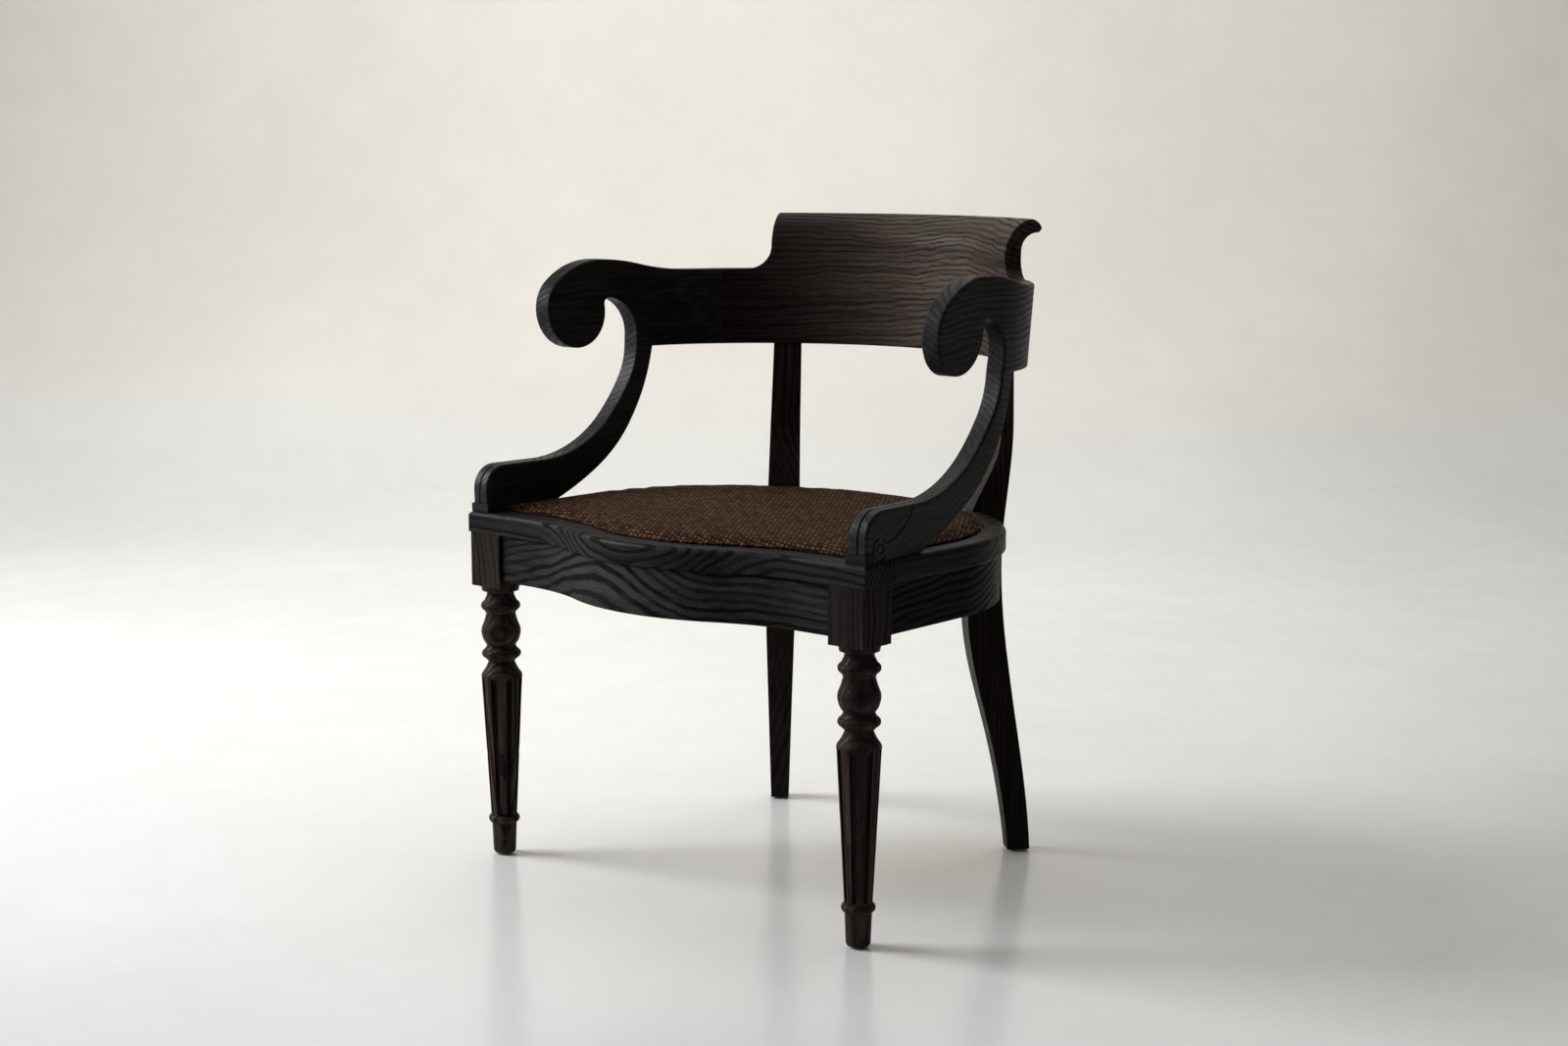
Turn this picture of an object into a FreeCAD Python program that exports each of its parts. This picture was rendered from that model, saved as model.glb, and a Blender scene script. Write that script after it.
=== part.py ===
import FreeCAD, Part
import math
import os
from FreeCAD import Vector

# Klismos armchair in dark oak: turned and fluted front legs, sabre rear legs that
# rise into stiles, a bowed seat, and a curved back whose arms end in scrolls.
# Millimetres. X runs across the chair, the front faces -Y, Z is up.
# While it is built, y is 0 at the axes of the front legs.

# Front legs
leg_spacing = 600.0
leg_block = 52.0
block_drop = 9.0
flute_count = 8
flute_width = 8.0
flute_depth = 2.2
glide_radius = 6.5
glide_height = 3.0
glide_pin_radius = 1.2
glide_pin_length = 14.0

# Turning of the front leg from the floor up, one member in each row:
# height, radius at its top, radius at half its height (None is straight)
foot_radius = 13.6
foot_members = [
    (2.5, 14.8, None),
    (37.5, 16.2, None),
    (11.0, 16.8, 20.4),
]
shaft_height = 184.0
shaft_radius = 26.4
upper_members = [
    (8.5, 24.4, 26.6),
    (14.0, 17.0, 20.0),
    (6.0, 23.2, 19.6),
    (9.0, 23.4, 25.6),
    (6.0, 19.0, 20.4),
    (1.5, 19.0, None),
    (12.0, 24.9, 23.0),
    (13.0, 24.2, 25.7),
    (16.0, 19.2, 21.2),
    (5.5, 22.8, 20.2),
    (10.0, 23.2, 25.6),
    (5.0, 19.8, 20.9),
    (8.0, 17.6, 18.0),
    (2.5, 24.0, 20.0),
    (7.0, 25.0, None),
]

# Seat rails and seat frame
rail_height = 61.0
rail_thickness = 22.0
rail_setback = 7.0
front_rail_setback = 5.5
frame_thickness = 27.0
frame_side_lap = 3.0
frame_front_lap = 1.0
frame_border = 27.0
frame_front_border = 32.0
frame_ledge = 14.0
frame_top_round = 6.0
frame_low_round = 2.0
frame_joint_y = 32.0
seat_depth = 450.1
seat_corner_radius = 246.0
seat_turn = 45.3
bow_margin = 44.0
bow_depth = 51.0
tenon_length = 20.0
tenon_thickness = 10.0
tenon_shoulder = 9.0

# Drop-in seat
board_thickness = 9.0
board_clearance = 1.5
ledge_depth = 12.0
pad_clearance = 0.8
pad_gap = 0.3
pad_rim = 2.5
pad_crown = 7.5
pad_shoulder = 26.0

# Curved back and arms
yoke_rise = 198.0
yoke_inset = 6.5
yoke_thickness = 26.0
yoke_overhang = 30.7
yoke_corner_radius = 229.5
yoke_turn = 40.0
yoke_lean = 4.2
arm_splay = 4.5
crest_height = 178.0
crest_inset = 96.5
crest_end_turn = 23.0
crest_rise = 49.0
crest_reach = 56.0
crest_nose_radius = 17.5
crest_nose_end = 25.0
crest_lip = 17.5
crest_hollow_radius = 23.5
crest_neck = 25.0
ogee_radius = 31.0
arm_low = 102.5
arm_high = 120.0
arm_low_y = 345.0
arm_high_y = 196.0
arm_brow_radius = 118.0
arm_brow_angle = 40.0
scroll_radius = 50.0
crook_height = 68.0
crook_radius = 6.0
crook_back_y = 255.0
arris_round = 3.0
crest_arris_round = 2.0
sharp_angle = 25.0

# Arm supports, whose shoe stands on a small plinth over the front leg
plinth_width = 30.0
plinth_front = 23.0
plinth_back = -7.0
plinth_height = 11.0
support_lean = 1.7
support_splay = 2.6
support_top_y = 253.0
support_top_depth = 27.0
shoe_front = 21.0
shoe_height = 49.0
shoe_length = 106.0
shoe_heel_run = 5.0
shoe_groove = 2.6

# Carving on both faces of the shoe: a volute low in front, and a line that sweeps
# from it up to the top edge
volute_y = 6.4
volute_radius = 13.5
volute_eye_radius = 6.5
volute_gap = 75.0
sweep_radius = 75.0
sweep_rise = 4.5
carving_width = 2.4
carving_depth = 1.3

# Rear legs: foot place, turn of the leg's plane from the Y axis, and sections
rear_leg_inset = 132.0
rear_reach = 60.9
rear_turn = 41.0
rear_foot_depth = 29.5
rear_seat_depth = 46.0
rear_splay = 75.0
rear_foot_half = 12.6
rear_rail_half = 19.5
rear_seat_inner = 27.0
rear_seat_outer = 16.5
rear_sole_shift = 1.0
stile_depth = 19.0
stile_shift = 3.0
stile_hollow = 2.0
stile_top_inner = 30.0
stile_top_outer = 8.0
stile_tenon_height = 28.0
stile_tenon_depth = 10.0
stile_tenon_width = 26.0

# Glue blocks, dowels and screws
corner_block_height = 40.0
corner_block_reach = 44.0
splice_block_depth = 20.0
splice_block_width = 84.0
splice_block_margin = 6.0
dowel_radius = 4.0
dowel_length = 40.0
shoe_dowel_radius = 5.0
screw_radius = 2.2
screw_head_radius = 4.4
screw_head_height = 3.0
screw_edge = 6.5

UP = Vector(0, 0, 1)

# Heights that follow from the sizes above
foot_height = sum(member[0] for member in foot_members)
block_bottom = glide_height + foot_height + shaft_height + sum(m[0] for m in upper_members)
rail_bottom = block_bottom + block_drop
frame_bottom = rail_bottom + rail_height
frame_top = frame_bottom + frame_thickness
ledge_top = frame_top - ledge_depth
plinth_top = frame_top + plinth_height
yoke_bottom = frame_top + yoke_rise
yoke_slope = math.tan(math.radians(yoke_lean))
support_slope = math.tan(math.radians(support_lean))

# Plan sizes that follow from them
leg_x = leg_spacing / 2
seat_half = leg_x + leg_block / 2 + frame_side_lap
seat_front = -(leg_block / 2 + frame_front_lap)
bow_half = leg_x - leg_block / 2 - bow_margin
yoke_half = leg_x - yoke_inset
crest_half = yoke_half - crest_inset
yoke_depth = seat_depth + yoke_overhang
shoe_end = shoe_length - shoe_front
shoe_heel = shoe_end + shoe_heel_run


def radians_pair(angle):
    return math.cos(math.radians(angle)), math.sin(math.radians(angle))


def bow_plan(half_width, corner_radius, depth, turn):
    """Corner arcs meet the back arc at the turn angle; gives its radius and both centres."""
    cosine, sine = radians_pair(turn)
    back_radius = corner_radius + (half_width - corner_radius) / cosine
    back_y = depth - back_radius
    corner_y = back_y + (half_width - corner_radius) * sine / cosine
    return back_radius, back_y, corner_y


seat_plan = bow_plan(seat_half, seat_corner_radius, seat_depth, seat_turn)
seat_back_radius, seat_back_y, seat_corner_y = seat_plan
yoke_plan = bow_plan(yoke_half, yoke_corner_radius, yoke_depth, yoke_turn)
yoke_back_radius, yoke_back_y, yoke_corner_y = yoke_plan

# Rear feet stand outside the place where each leg crosses the seat's edge
rear_cosine, rear_sine = radians_pair(rear_turn)
rear_leg_x = leg_x - rear_leg_inset
rear_leg_y = seat_back_y + math.sqrt(seat_back_radius ** 2 - rear_leg_x ** 2)
rear_foot_x = rear_leg_x + rear_reach * rear_sine
rear_foot_y = rear_leg_y + rear_reach * rear_cosine


def line(start, end):
    return Part.makeLine(start, end)


def arc(start, middle, end):
    return Part.Arc(start, middle, end).toShape()


def curve(points):
    spline = Part.BSplineCurve()
    spline.interpolate(points)
    return spline.toShape()


def arc_about(centre, radius, start_angle, end_angle):
    points = []
    for angle in (start_angle, (start_angle + end_angle) / 2, end_angle):
        cosine, sine = radians_pair(angle)
        points.append(centre + Vector(radius * cosine, radius * sine, 0))
    return arc(*points)


def prism(edges, along):
    return Part.Face(Part.Wire(edges)).extrude(along)


def polygon_edges(points):
    return [line(points[i - 1], points[i]) for i in range(len(points))]


def mirrored(shape):
    return shape.mirror(Vector(0, 0, 0), Vector(1, 0, 0))


def rounded(shape, radius, edges):
    return shape.makeFillet(radius, edges)


def is_sharp(shape, edge):
    """True where the two faces at the edge meet at a real corner and not smoothly."""
    middle = edge.valueAt((edge.FirstParameter + edge.LastParameter) / 2)
    normals = []
    for face in shape.ancestorsOfType(edge, Part.Face):
        normals.append(face.normalAt(*face.Surface.parameter(middle)))
    if len(normals) != 2:
        return False
    return math.degrees(normals[0].getAngle(normals[1])) > sharp_angle


def lies_in(edge, point, normal):
    return all(abs((v.Point - point).dot(normal)) < 0.01 for v in edge.Vertexes)


def softened(shape, radius, flat_joints):
    """Rounds every sharp arris except those in the planes where pieces are joined."""
    edges = []
    for edge in shape.Edges:
        joined = any(lies_in(edge, point, normal) for point, normal in flat_joints)
        if is_sharp(shape, edge) and not joined:
            edges.append(edge)
    return rounded(shape, radius, edges).Solids[0]


# Seat outline
def bow_edges(front_y, z):
    """The serpentine front from left to right: two hollow arcs and a full middle one."""
    radius = (bow_half ** 2 + bow_depth ** 2) / (4 * bow_depth)
    spread = math.degrees(math.asin(bow_half / 2 / radius))
    left = Vector(-bow_half, front_y - radius, z)
    middle = Vector(0, front_y - bow_depth + radius, z)
    right = Vector(bow_half, front_y - radius, z)
    return [
        arc_about(left, radius, 90, 90 - spread),
        arc_about(middle, radius, 270 - spread, 270 + spread),
        arc_about(right, radius, 90 + spread, 90),
    ]


def seat_edges(inset, front_inset, z):
    """Closed outline of the seat, moved in from the edge of the frame."""
    half = seat_half - inset
    front_y = seat_front + front_inset
    corner = Vector(seat_half - seat_corner_radius, seat_corner_y, z)
    other = Vector(-corner.x, seat_corner_y, z)
    back = Vector(0, seat_back_y, z)
    edges = [line(Vector(-half, front_y, z), Vector(-bow_half, front_y, z))]
    edges += bow_edges(front_y, z)
    edges.append(line(Vector(bow_half, front_y, z), Vector(half, front_y, z)))
    edges.append(line(Vector(half, front_y, z), Vector(half, seat_corner_y, z)))
    edges.append(arc_about(corner, seat_corner_radius - inset, 0, seat_turn))
    edges.append(arc_about(back, seat_back_radius - inset, seat_turn, 180 - seat_turn))
    edges.append(arc_about(other, seat_corner_radius - inset, 180 - seat_turn, 180))
    edges.append(line(Vector(-half, seat_corner_y, z), Vector(-half, front_y, z)))
    return edges


def seat_prism(inset, front_inset, bottom, top):
    return prism(seat_edges(inset, front_inset, bottom), UP * (top - bottom))


def slab(x_low, x_high, y_low, y_high, z_low, z_high):
    corner = Vector(x_low, y_low, z_low)
    return Part.makeBox(x_high - x_low, y_high - y_low, z_high - z_low, corner)


def dowel(start, direction, length, radius):
    return Part.makeCylinder(radius, length, start, direction)


def screw(head, direction, length):
    """Countersunk screw whose flat head lies at the point head."""
    shank = Part.makeCylinder(screw_radius, length, head, direction)
    cone = Part.makeCone(screw_head_radius, screw_radius, screw_head_height, head, direction)
    return shank.fuse(cone)


# Front legs
def turned_edges(start_radius, start_z, members):
    edges = []
    radius = start_radius
    z = start_z
    for height, end_radius, middle_radius in members:
        start = Vector(radius, 0, z)
        end = Vector(end_radius, 0, z + height)
        if middle_radius is None:
            edges.append(line(start, end))
        else:
            edges.append(arc(start, Vector(middle_radius, 0, z + height / 2), end))
        radius = end_radius
        z += height
    return edges


def turned_leg():
    members = foot_members + [(shaft_height, shaft_radius, None)] + upper_members
    edges = turned_edges(foot_radius, glide_height, members)
    top_radius = members[-1][1]
    axis_top = Vector(0, 0, block_bottom)
    axis_bottom = Vector(0, 0, glide_height)
    edges.append(line(Vector(top_radius, 0, block_bottom), axis_top))
    edges.append(line(axis_top, axis_bottom))
    edges.append(line(axis_bottom, Vector(foot_radius, 0, glide_height)))
    return Part.Face(Part.Wire(edges)).revolve(Vector(0, 0, 0), UP, 360)


def flute():
    """Flat-bottomed flute that follows the taper and runs out at both ends."""
    low = glide_height + foot_height
    high = low + shaft_height
    low_radius = foot_members[-1][1]
    half = flute_width / 2
    taper = half * low_radius / shaft_radius
    outside = shaft_radius * 2
    floor_low = low_radius - flute_depth
    floor_high = shaft_radius - flute_depth
    foot_end = low + flute_depth
    top_end = high + flute_depth
    side = [
        Vector(outside, 0, foot_end),
        Vector(floor_low, 0, foot_end),
        Vector(floor_high, 0, top_end),
        Vector(outside, 0, top_end),
    ]
    lengthways = prism(polygon_edges(side), Vector(0, shaft_radius, 0))
    lengthways.translate(Vector(0, -shaft_radius / 2, 0))
    front = [
        Vector(0, -taper, foot_end),
        Vector(0, taper, foot_end),
        Vector(0, half, top_end),
        Vector(0, -half, top_end),
    ]
    return lengthways.common(prism(polygon_edges(front), Vector(outside, 0, 0)))


def front_leg():
    leg = turned_leg()
    cutter = flute()
    for index in range(flute_count):
        turned = cutter.copy()
        turned.rotate(Vector(0, 0, 0), UP, 360.0 * (index + 0.5) / flute_count)
        leg = leg.cut(turned)
    half = leg_block / 2
    block = slab(-half, half, -half, half, block_bottom, frame_bottom)
    leg = leg.fuse(block).removeSplitter()
    leg.translate(Vector(leg_x, 0, 0))
    return leg


def glide(x, y):
    disc = Part.makeCylinder(glide_radius, glide_height, Vector(x, y, 0), UP)
    reach = glide_height + glide_pin_length
    pin = Part.makeCylinder(glide_pin_radius, reach, Vector(x, y, 0), UP)
    return disc.fuse(pin).removeSplitter()


# Rear leg and stile, drawn in its own plane: s runs outward from the foot, t across
def rear_point(s, t, z):
    x = rear_foot_x + s * rear_sine - t * rear_cosine
    y = rear_foot_y + s * rear_cosine + t * rear_sine
    return Vector(x, y, z)


def rear_side_edges(t):
    """Outline seen from the side: sabre leg, straight run at the seat, thin stile."""
    front_foot = -rear_foot_depth / 2 - rear_sole_shift
    back_foot = rear_foot_depth / 2 - rear_sole_shift
    seat_back = -rear_splay + rear_seat_depth
    stile_front = -rear_splay / 2 + stile_shift
    stile_back = stile_front + stile_depth
    middle = frame_top + yoke_rise * 0.38
    upper = frame_top + yoke_rise * 0.6
    front = [
        rear_point(front_foot, t, glide_height),
        rear_point(-rear_splay * 0.32, t, rail_bottom * 0.18),
        rear_point(-rear_splay * 0.58, t, rail_bottom * 0.44),
        rear_point(-rear_splay * 0.89, t, rail_bottom * 0.69),
        rear_point(-rear_splay, t, rail_bottom * 0.9),
    ]
    neck = [
        rear_point(-rear_splay, t, frame_top - frame_thickness / 2),
        rear_point(-rear_splay * 0.78, t, frame_top + yoke_rise * 0.13),
        rear_point(stile_front - stile_hollow * 0.75, t, middle),
        rear_point(stile_front, t, upper),
    ]
    back = [
        rear_point(stile_back, t, upper),
        rear_point(stile_back - stile_hollow, t, middle),
        rear_point(seat_back, t, frame_bottom),
        rear_point(seat_back * 0.9, t, rail_bottom * 0.82),
        rear_point(-rear_foot_depth * 0.22, t, rail_bottom * 0.45),
        rear_point(back_foot, t, glide_height),
    ]
    edges = [curve(front), line(front[-1], neck[0]), curve(neck)]
    edges.append(line(neck[-1], rear_point(stile_front, t, yoke_bottom)))
    edges.append(line(edges[-1].Vertexes[-1].Point, rear_point(stile_back, t, yoke_bottom)))
    edges.append(line(edges[-1].Vertexes[-1].Point, back[0]))
    edges.append(curve(back))
    edges.append(line(back[-1], front[0]))
    return edges


def rear_front_points(s):
    """Outline seen from the front: slim foot, full width at the seat, slim stile."""
    return [
        rear_point(s, -rear_foot_half, glide_height),
        rear_point(s, rear_foot_half, glide_height),
        rear_point(s, rear_rail_half, rail_bottom * 0.67),
        rear_point(s, rear_seat_inner, frame_top),
        rear_point(s, stile_top_inner, yoke_bottom),
        rear_point(s, -stile_top_outer, yoke_bottom),
        rear_point(s, -rear_seat_outer, frame_top),
        rear_point(s, -rear_rail_half, rail_bottom * 0.67),
    ]


def across_rear_leg():
    return Vector(-rear_cosine, rear_sine, 0)


def along_rear_leg():
    return Vector(rear_sine, rear_cosine, 0)


def rear_box(s_low, s_high, t_low, t_high, z_low, z_high):
    corners = [
        rear_point(s_low, t_low, z_low),
        rear_point(s_high, t_low, z_low),
        rear_point(s_high, t_high, z_low),
        rear_point(s_low, t_high, z_low),
    ]
    return prism(polygon_edges(corners), UP * (z_high - z_low))


def stile_tenon():
    stile_middle = -rear_splay / 2 + stile_shift + stile_depth / 2
    across_middle = (stile_top_inner - stile_top_outer) / 2
    s_low = stile_middle - stile_tenon_depth / 2
    t_low = across_middle - stile_tenon_width / 2
    s_high = s_low + stile_tenon_depth
    t_high = t_low + stile_tenon_width
    top = yoke_bottom + stile_tenon_height
    return rear_box(s_low, s_high, t_low, t_high, yoke_bottom, top)


def rear_leg():
    reach = rear_seat_depth * 2
    side = prism(rear_side_edges(-reach / 2), across_rear_leg() * reach)
    front = prism(polygon_edges(rear_front_points(-rear_splay * 2)), along_rear_leg() * rear_splay * 3)
    leg = side.common(front)
    return leg.fuse(stile_tenon()).removeSplitter()


# Rails
def front_rail():
    face_y = seat_front + front_rail_setback
    end = leg_x - leg_block / 2
    shift = Vector(0, rail_thickness, 0)
    front = [line(Vector(-end, face_y, rail_bottom), Vector(-bow_half, face_y, rail_bottom))]
    front += bow_edges(face_y, rail_bottom)
    front.append(line(Vector(bow_half, face_y, rail_bottom), Vector(end, face_y, rail_bottom)))
    rear = []
    for edge in front:
        moved = edge.copy()
        moved.translate(shift)
        rear.append(moved)
    right = line(Vector(end, face_y, rail_bottom), Vector(end, face_y, rail_bottom) + shift)
    left = line(Vector(-end, face_y, rail_bottom), Vector(-end, face_y, rail_bottom) + shift)
    wire = Part.Wire(Part.__sortEdges__(front + rear + [left, right]))
    rail = Part.Face(wire).extrude(UP * rail_height)
    return rail.fuse(front_tenon()).fuse(mirrored(front_tenon())).removeSplitter()


def front_tenon():
    middle = seat_front + front_rail_setback + rail_thickness / 2
    half = tenon_thickness / 2
    start = leg_x - leg_block / 2
    low = rail_bottom + tenon_shoulder
    high = frame_bottom - tenon_shoulder
    return slab(start, start + tenon_length, middle - half, middle + half, low, high)


def side_tenon():
    middle = seat_half - rail_setback - rail_thickness / 2
    half = tenon_thickness / 2
    end = leg_block / 2
    low = rail_bottom + tenon_shoulder
    high = frame_bottom - tenon_shoulder
    return slab(middle - half, middle + half, end - tenon_length, end, low, high)


def rail_ring(inner, outer, bottom, top):
    hoop = seat_prism(outer, outer, bottom, top).cut(seat_prism(inner, inner, bottom, top))
    far = seat_back_y + seat_back_radius
    return hoop.common(slab(-seat_half, seat_half, leg_block / 2, far, bottom, top))


def beyond_rear_leg(bottom, top):
    """Everything on the outer side of the rear leg's middle plane."""
    reach = seat_half * 4
    return rear_box(-reach, reach, -reach, 0, bottom, top)


def side_rail():
    outer = rail_setback
    inner = rail_setback + rail_thickness
    ring = rail_ring(inner, outer, rail_bottom, frame_bottom)
    rail = ring.common(beyond_rear_leg(rail_bottom, frame_bottom))
    far = seat_back_y + seat_back_radius
    rail = rail.common(slab(0, seat_half, 0, far, rail_bottom, frame_bottom))
    return rail.fuse(side_tenon()).removeSplitter()


def back_rail():
    outer = rail_setback
    inner = rail_setback + rail_thickness
    ring = rail_ring(inner, outer, rail_bottom, frame_bottom)
    outside = beyond_rear_leg(rail_bottom, frame_bottom)
    return ring.cut(outside).cut(mirrored(outside))


# Seat frame
def seat_frame():
    """Border round the seat with a rounded edge and a ledge for the drop-in seat."""
    frame = seat_prism(0, 0, frame_bottom, frame_top)
    top_face = [f for f in frame.Faces if abs(f.CenterOfMass.z - frame_top) < 0.01][0]
    frame = rounded(frame, frame_top_round, top_face.OuterWire.Edges)
    low_face = [f for f in frame.Faces if abs(f.CenterOfMass.z - frame_bottom) < 0.01][0]
    frame = rounded(frame, frame_low_round, low_face.OuterWire.Edges)
    frame = frame.cut(seat_prism(frame_border, frame_front_border, ledge_top, frame_top))
    inset = frame_border + frame_ledge
    front_inset = frame_front_border + frame_ledge
    return frame.cut(seat_prism(inset, front_inset, frame_bottom, ledge_top))


def frame_pieces():
    frame = seat_frame()
    span = seat_half * 2
    front = frame.common(slab(-span, span, -span, frame_joint_y, frame_bottom, frame_top))
    rest = frame.common(slab(-span, span, frame_joint_y, span * 2, frame_bottom, frame_top))
    outside = beyond_rear_leg(frame_bottom, frame_top)
    right_half = slab(0, span, 0, span * 2, frame_bottom, frame_top)
    right = rest.common(outside).common(right_half)
    back = rest.cut(outside).cut(mirrored(outside))
    return front, right, back


def seat_board():
    inset = frame_border + board_clearance
    front_inset = frame_front_border + board_clearance
    return seat_prism(inset, front_inset, ledge_top, ledge_top + board_thickness)


def pad_section(inset, z):
    edges = seat_edges(frame_border + inset, frame_front_border + inset, z)
    return Part.Wire(edges)


def seat_pad():
    """Low pad: sides drawn in at the foot, full at the rim, then rising to a soft crown."""
    bottom = ledge_top + board_thickness + pad_gap
    rim = frame_top + pad_rim
    levels = [
        (pad_clearance + 1.2, bottom),
        (pad_clearance, (bottom + rim) / 2),
        (pad_clearance + 1.6, rim),
        (pad_shoulder * 0.4, rim + (pad_crown - pad_rim) * 0.5),
        (pad_shoulder, rim + (pad_crown - pad_rim) * 0.75),
        (pad_shoulder * 3, frame_top + pad_crown),
    ]
    return Part.makeLoft([pad_section(inset, z) for inset, z in levels], True, True)


# Curved back and arms
def yoke_point(u, z, centre_x, radius):
    """Point of a section: u is measured outward from the inner face's radius."""
    return Vector(centre_x + radius + u, 0, z)


def band_face(low, high, slope, level, skin, centre_x, radius):
    """Leaning cross-section of an arm or support, in the XZ plane, less a skin."""
    inner = skin
    outer = yoke_thickness - skin
    corners = []
    for u, z in ((inner, low), (outer, low), (outer, high), (inner, high)):
        corners.append(yoke_point(u + (z - level) * slope, z, centre_x, radius))
    return Part.Face(Part.Wire(polygon_edges(corners)))


def arm_band(low, high, slope, splay, length, skin=0):
    """Splayed straight run, then the corner arc that it meets, for the right arm."""
    centre = Vector(yoke_half - yoke_corner_radius, yoke_corner_y, 0)
    section = band_face(low, high, slope, yoke_bottom, skin, centre.x, yoke_corner_radius)
    section.translate(Vector(0, yoke_corner_y, 0))
    section.rotate(centre, UP, splay)
    cosine, sine = radians_pair(splay)
    straight = section.extrude(Vector(sine, -cosine, 0) * length)
    corner = section.revolve(centre, UP, yoke_turn - splay)
    return straight.fuse(corner).removeSplitter()


def section_point(u, height):
    return yoke_point(u, yoke_bottom + height, 0, yoke_back_radius)


def section_arc(centre_u, centre_height, radius, start_angle, end_angle):
    points = []
    for angle in (start_angle, (start_angle + end_angle) / 2, end_angle):
        cosine, sine = radians_pair(angle)
        points.append(section_point(centre_u + radius * cosine, centre_height + radius * sine))
    return arc(*points)


def crest_section():
    """Section of the back board: leaning face, roll over the top, drooped lip, hollow."""
    spring = crest_height - crest_rise
    front_u = spring * yoke_slope
    rise = crest_rise - crest_nose_radius
    run = crest_reach - crest_nose_radius * 2
    spread = 2 * math.atan(run / rise)
    sweep = rise / math.sin(spread) + crest_nose_radius
    turn = 180 - math.degrees(spread)
    nose_u = front_u + crest_reach - crest_nose_radius
    nose_height = crest_height - crest_nose_radius
    hollow_u = front_u + crest_neck + crest_hollow_radius
    hollow_height = crest_height - crest_lip - crest_hollow_radius
    roll = section_arc(front_u + sweep, spring, sweep, 180, turn)
    nose = section_arc(nose_u, nose_height, crest_nose_radius, turn, crest_nose_end)
    hollow = section_arc(hollow_u, hollow_height, crest_hollow_radius, 90, 180)
    lip_start = nose.Vertexes[-1].Point
    lip_end = hollow.Vertexes[0].Point
    lip_middle = (lip_start + lip_end) * 0.5 + Vector(1.5, 0, -1.5)
    neck = section_point(front_u + crest_neck, hollow_height)
    edges = [
        line(section_point(0, 0), section_point(front_u, spring)),
        roll,
        nose,
        arc(lip_start, lip_middle, lip_end),
        hollow,
        line(neck, section_point(yoke_thickness, 0)),
        line(section_point(yoke_thickness, 0), section_point(0, 0)),
    ]
    return Part.Face(Part.Wire(edges))


def beyond_crest():
    """What is cut away outside the right end of the crest, down to the arm's top edge."""
    end_radius = yoke_back_radius + (crest_height - crest_rise) * yoke_slope
    end_y = yoke_back_y + math.sqrt(end_radius ** 2 - crest_half ** 2)
    cosine, sine = radians_pair(90 - crest_end_turn)
    outward = Vector(sine, -cosine, 0)
    start = Vector(crest_half, end_y, 0) - Vector(cosine, sine, 0) * end_radius
    low = yoke_bottom + arm_low
    high = yoke_bottom + crest_height * 1.2
    diagonal = ogee_radius * (1 - math.sqrt(0.5))

    def at(across, z):
        return start + outward * across + UP * z

    edges = [
        line(at(0, high), at(0, low + ogee_radius)),
        arc(at(0, low + ogee_radius), at(diagonal, low + diagonal), at(ogee_radius, low)),
        line(at(ogee_radius, low), at(yoke_half, low)),
        line(at(yoke_half, low), at(yoke_half, high)),
        line(at(yoke_half, high), at(0, high)),
    ]
    return prism(edges, Vector(cosine, sine, 0) * end_radius * 2)


def yoke_joint():
    """Plane of the joint between the right arm and the back board."""
    cosine, sine = radians_pair(yoke_turn)
    return Vector(0, yoke_back_y, 0), Vector(-sine, cosine, 0)


def back_board():
    centre = Vector(0, yoke_back_y, 0)
    section = crest_section()
    section.translate(centre)
    section.rotate(centre, UP, yoke_turn)
    hoop = section.revolve(centre, UP, 180 - 2 * yoke_turn)
    cutter = beyond_crest()
    board = hoop.cut(cutter).cut(mirrored(cutter))
    point, normal = yoke_joint()
    other = Vector(-normal.x, normal.y, 0)
    under = (Vector(0, 0, yoke_bottom), UP)
    return softened(board, crest_arris_round, [(point, normal), (point, other), under])


def side_point(y, z):
    return Vector(0, y, z)


def side_arc(centre_y, centre_z, radius, start_angle, end_angle):
    points = []
    for angle in (start_angle, (start_angle + end_angle) / 2, end_angle):
        cosine, sine = radians_pair(angle)
        points.append(side_point(centre_y + radius * cosine, centre_z + radius * sine))
    return arc(*points)


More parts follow.
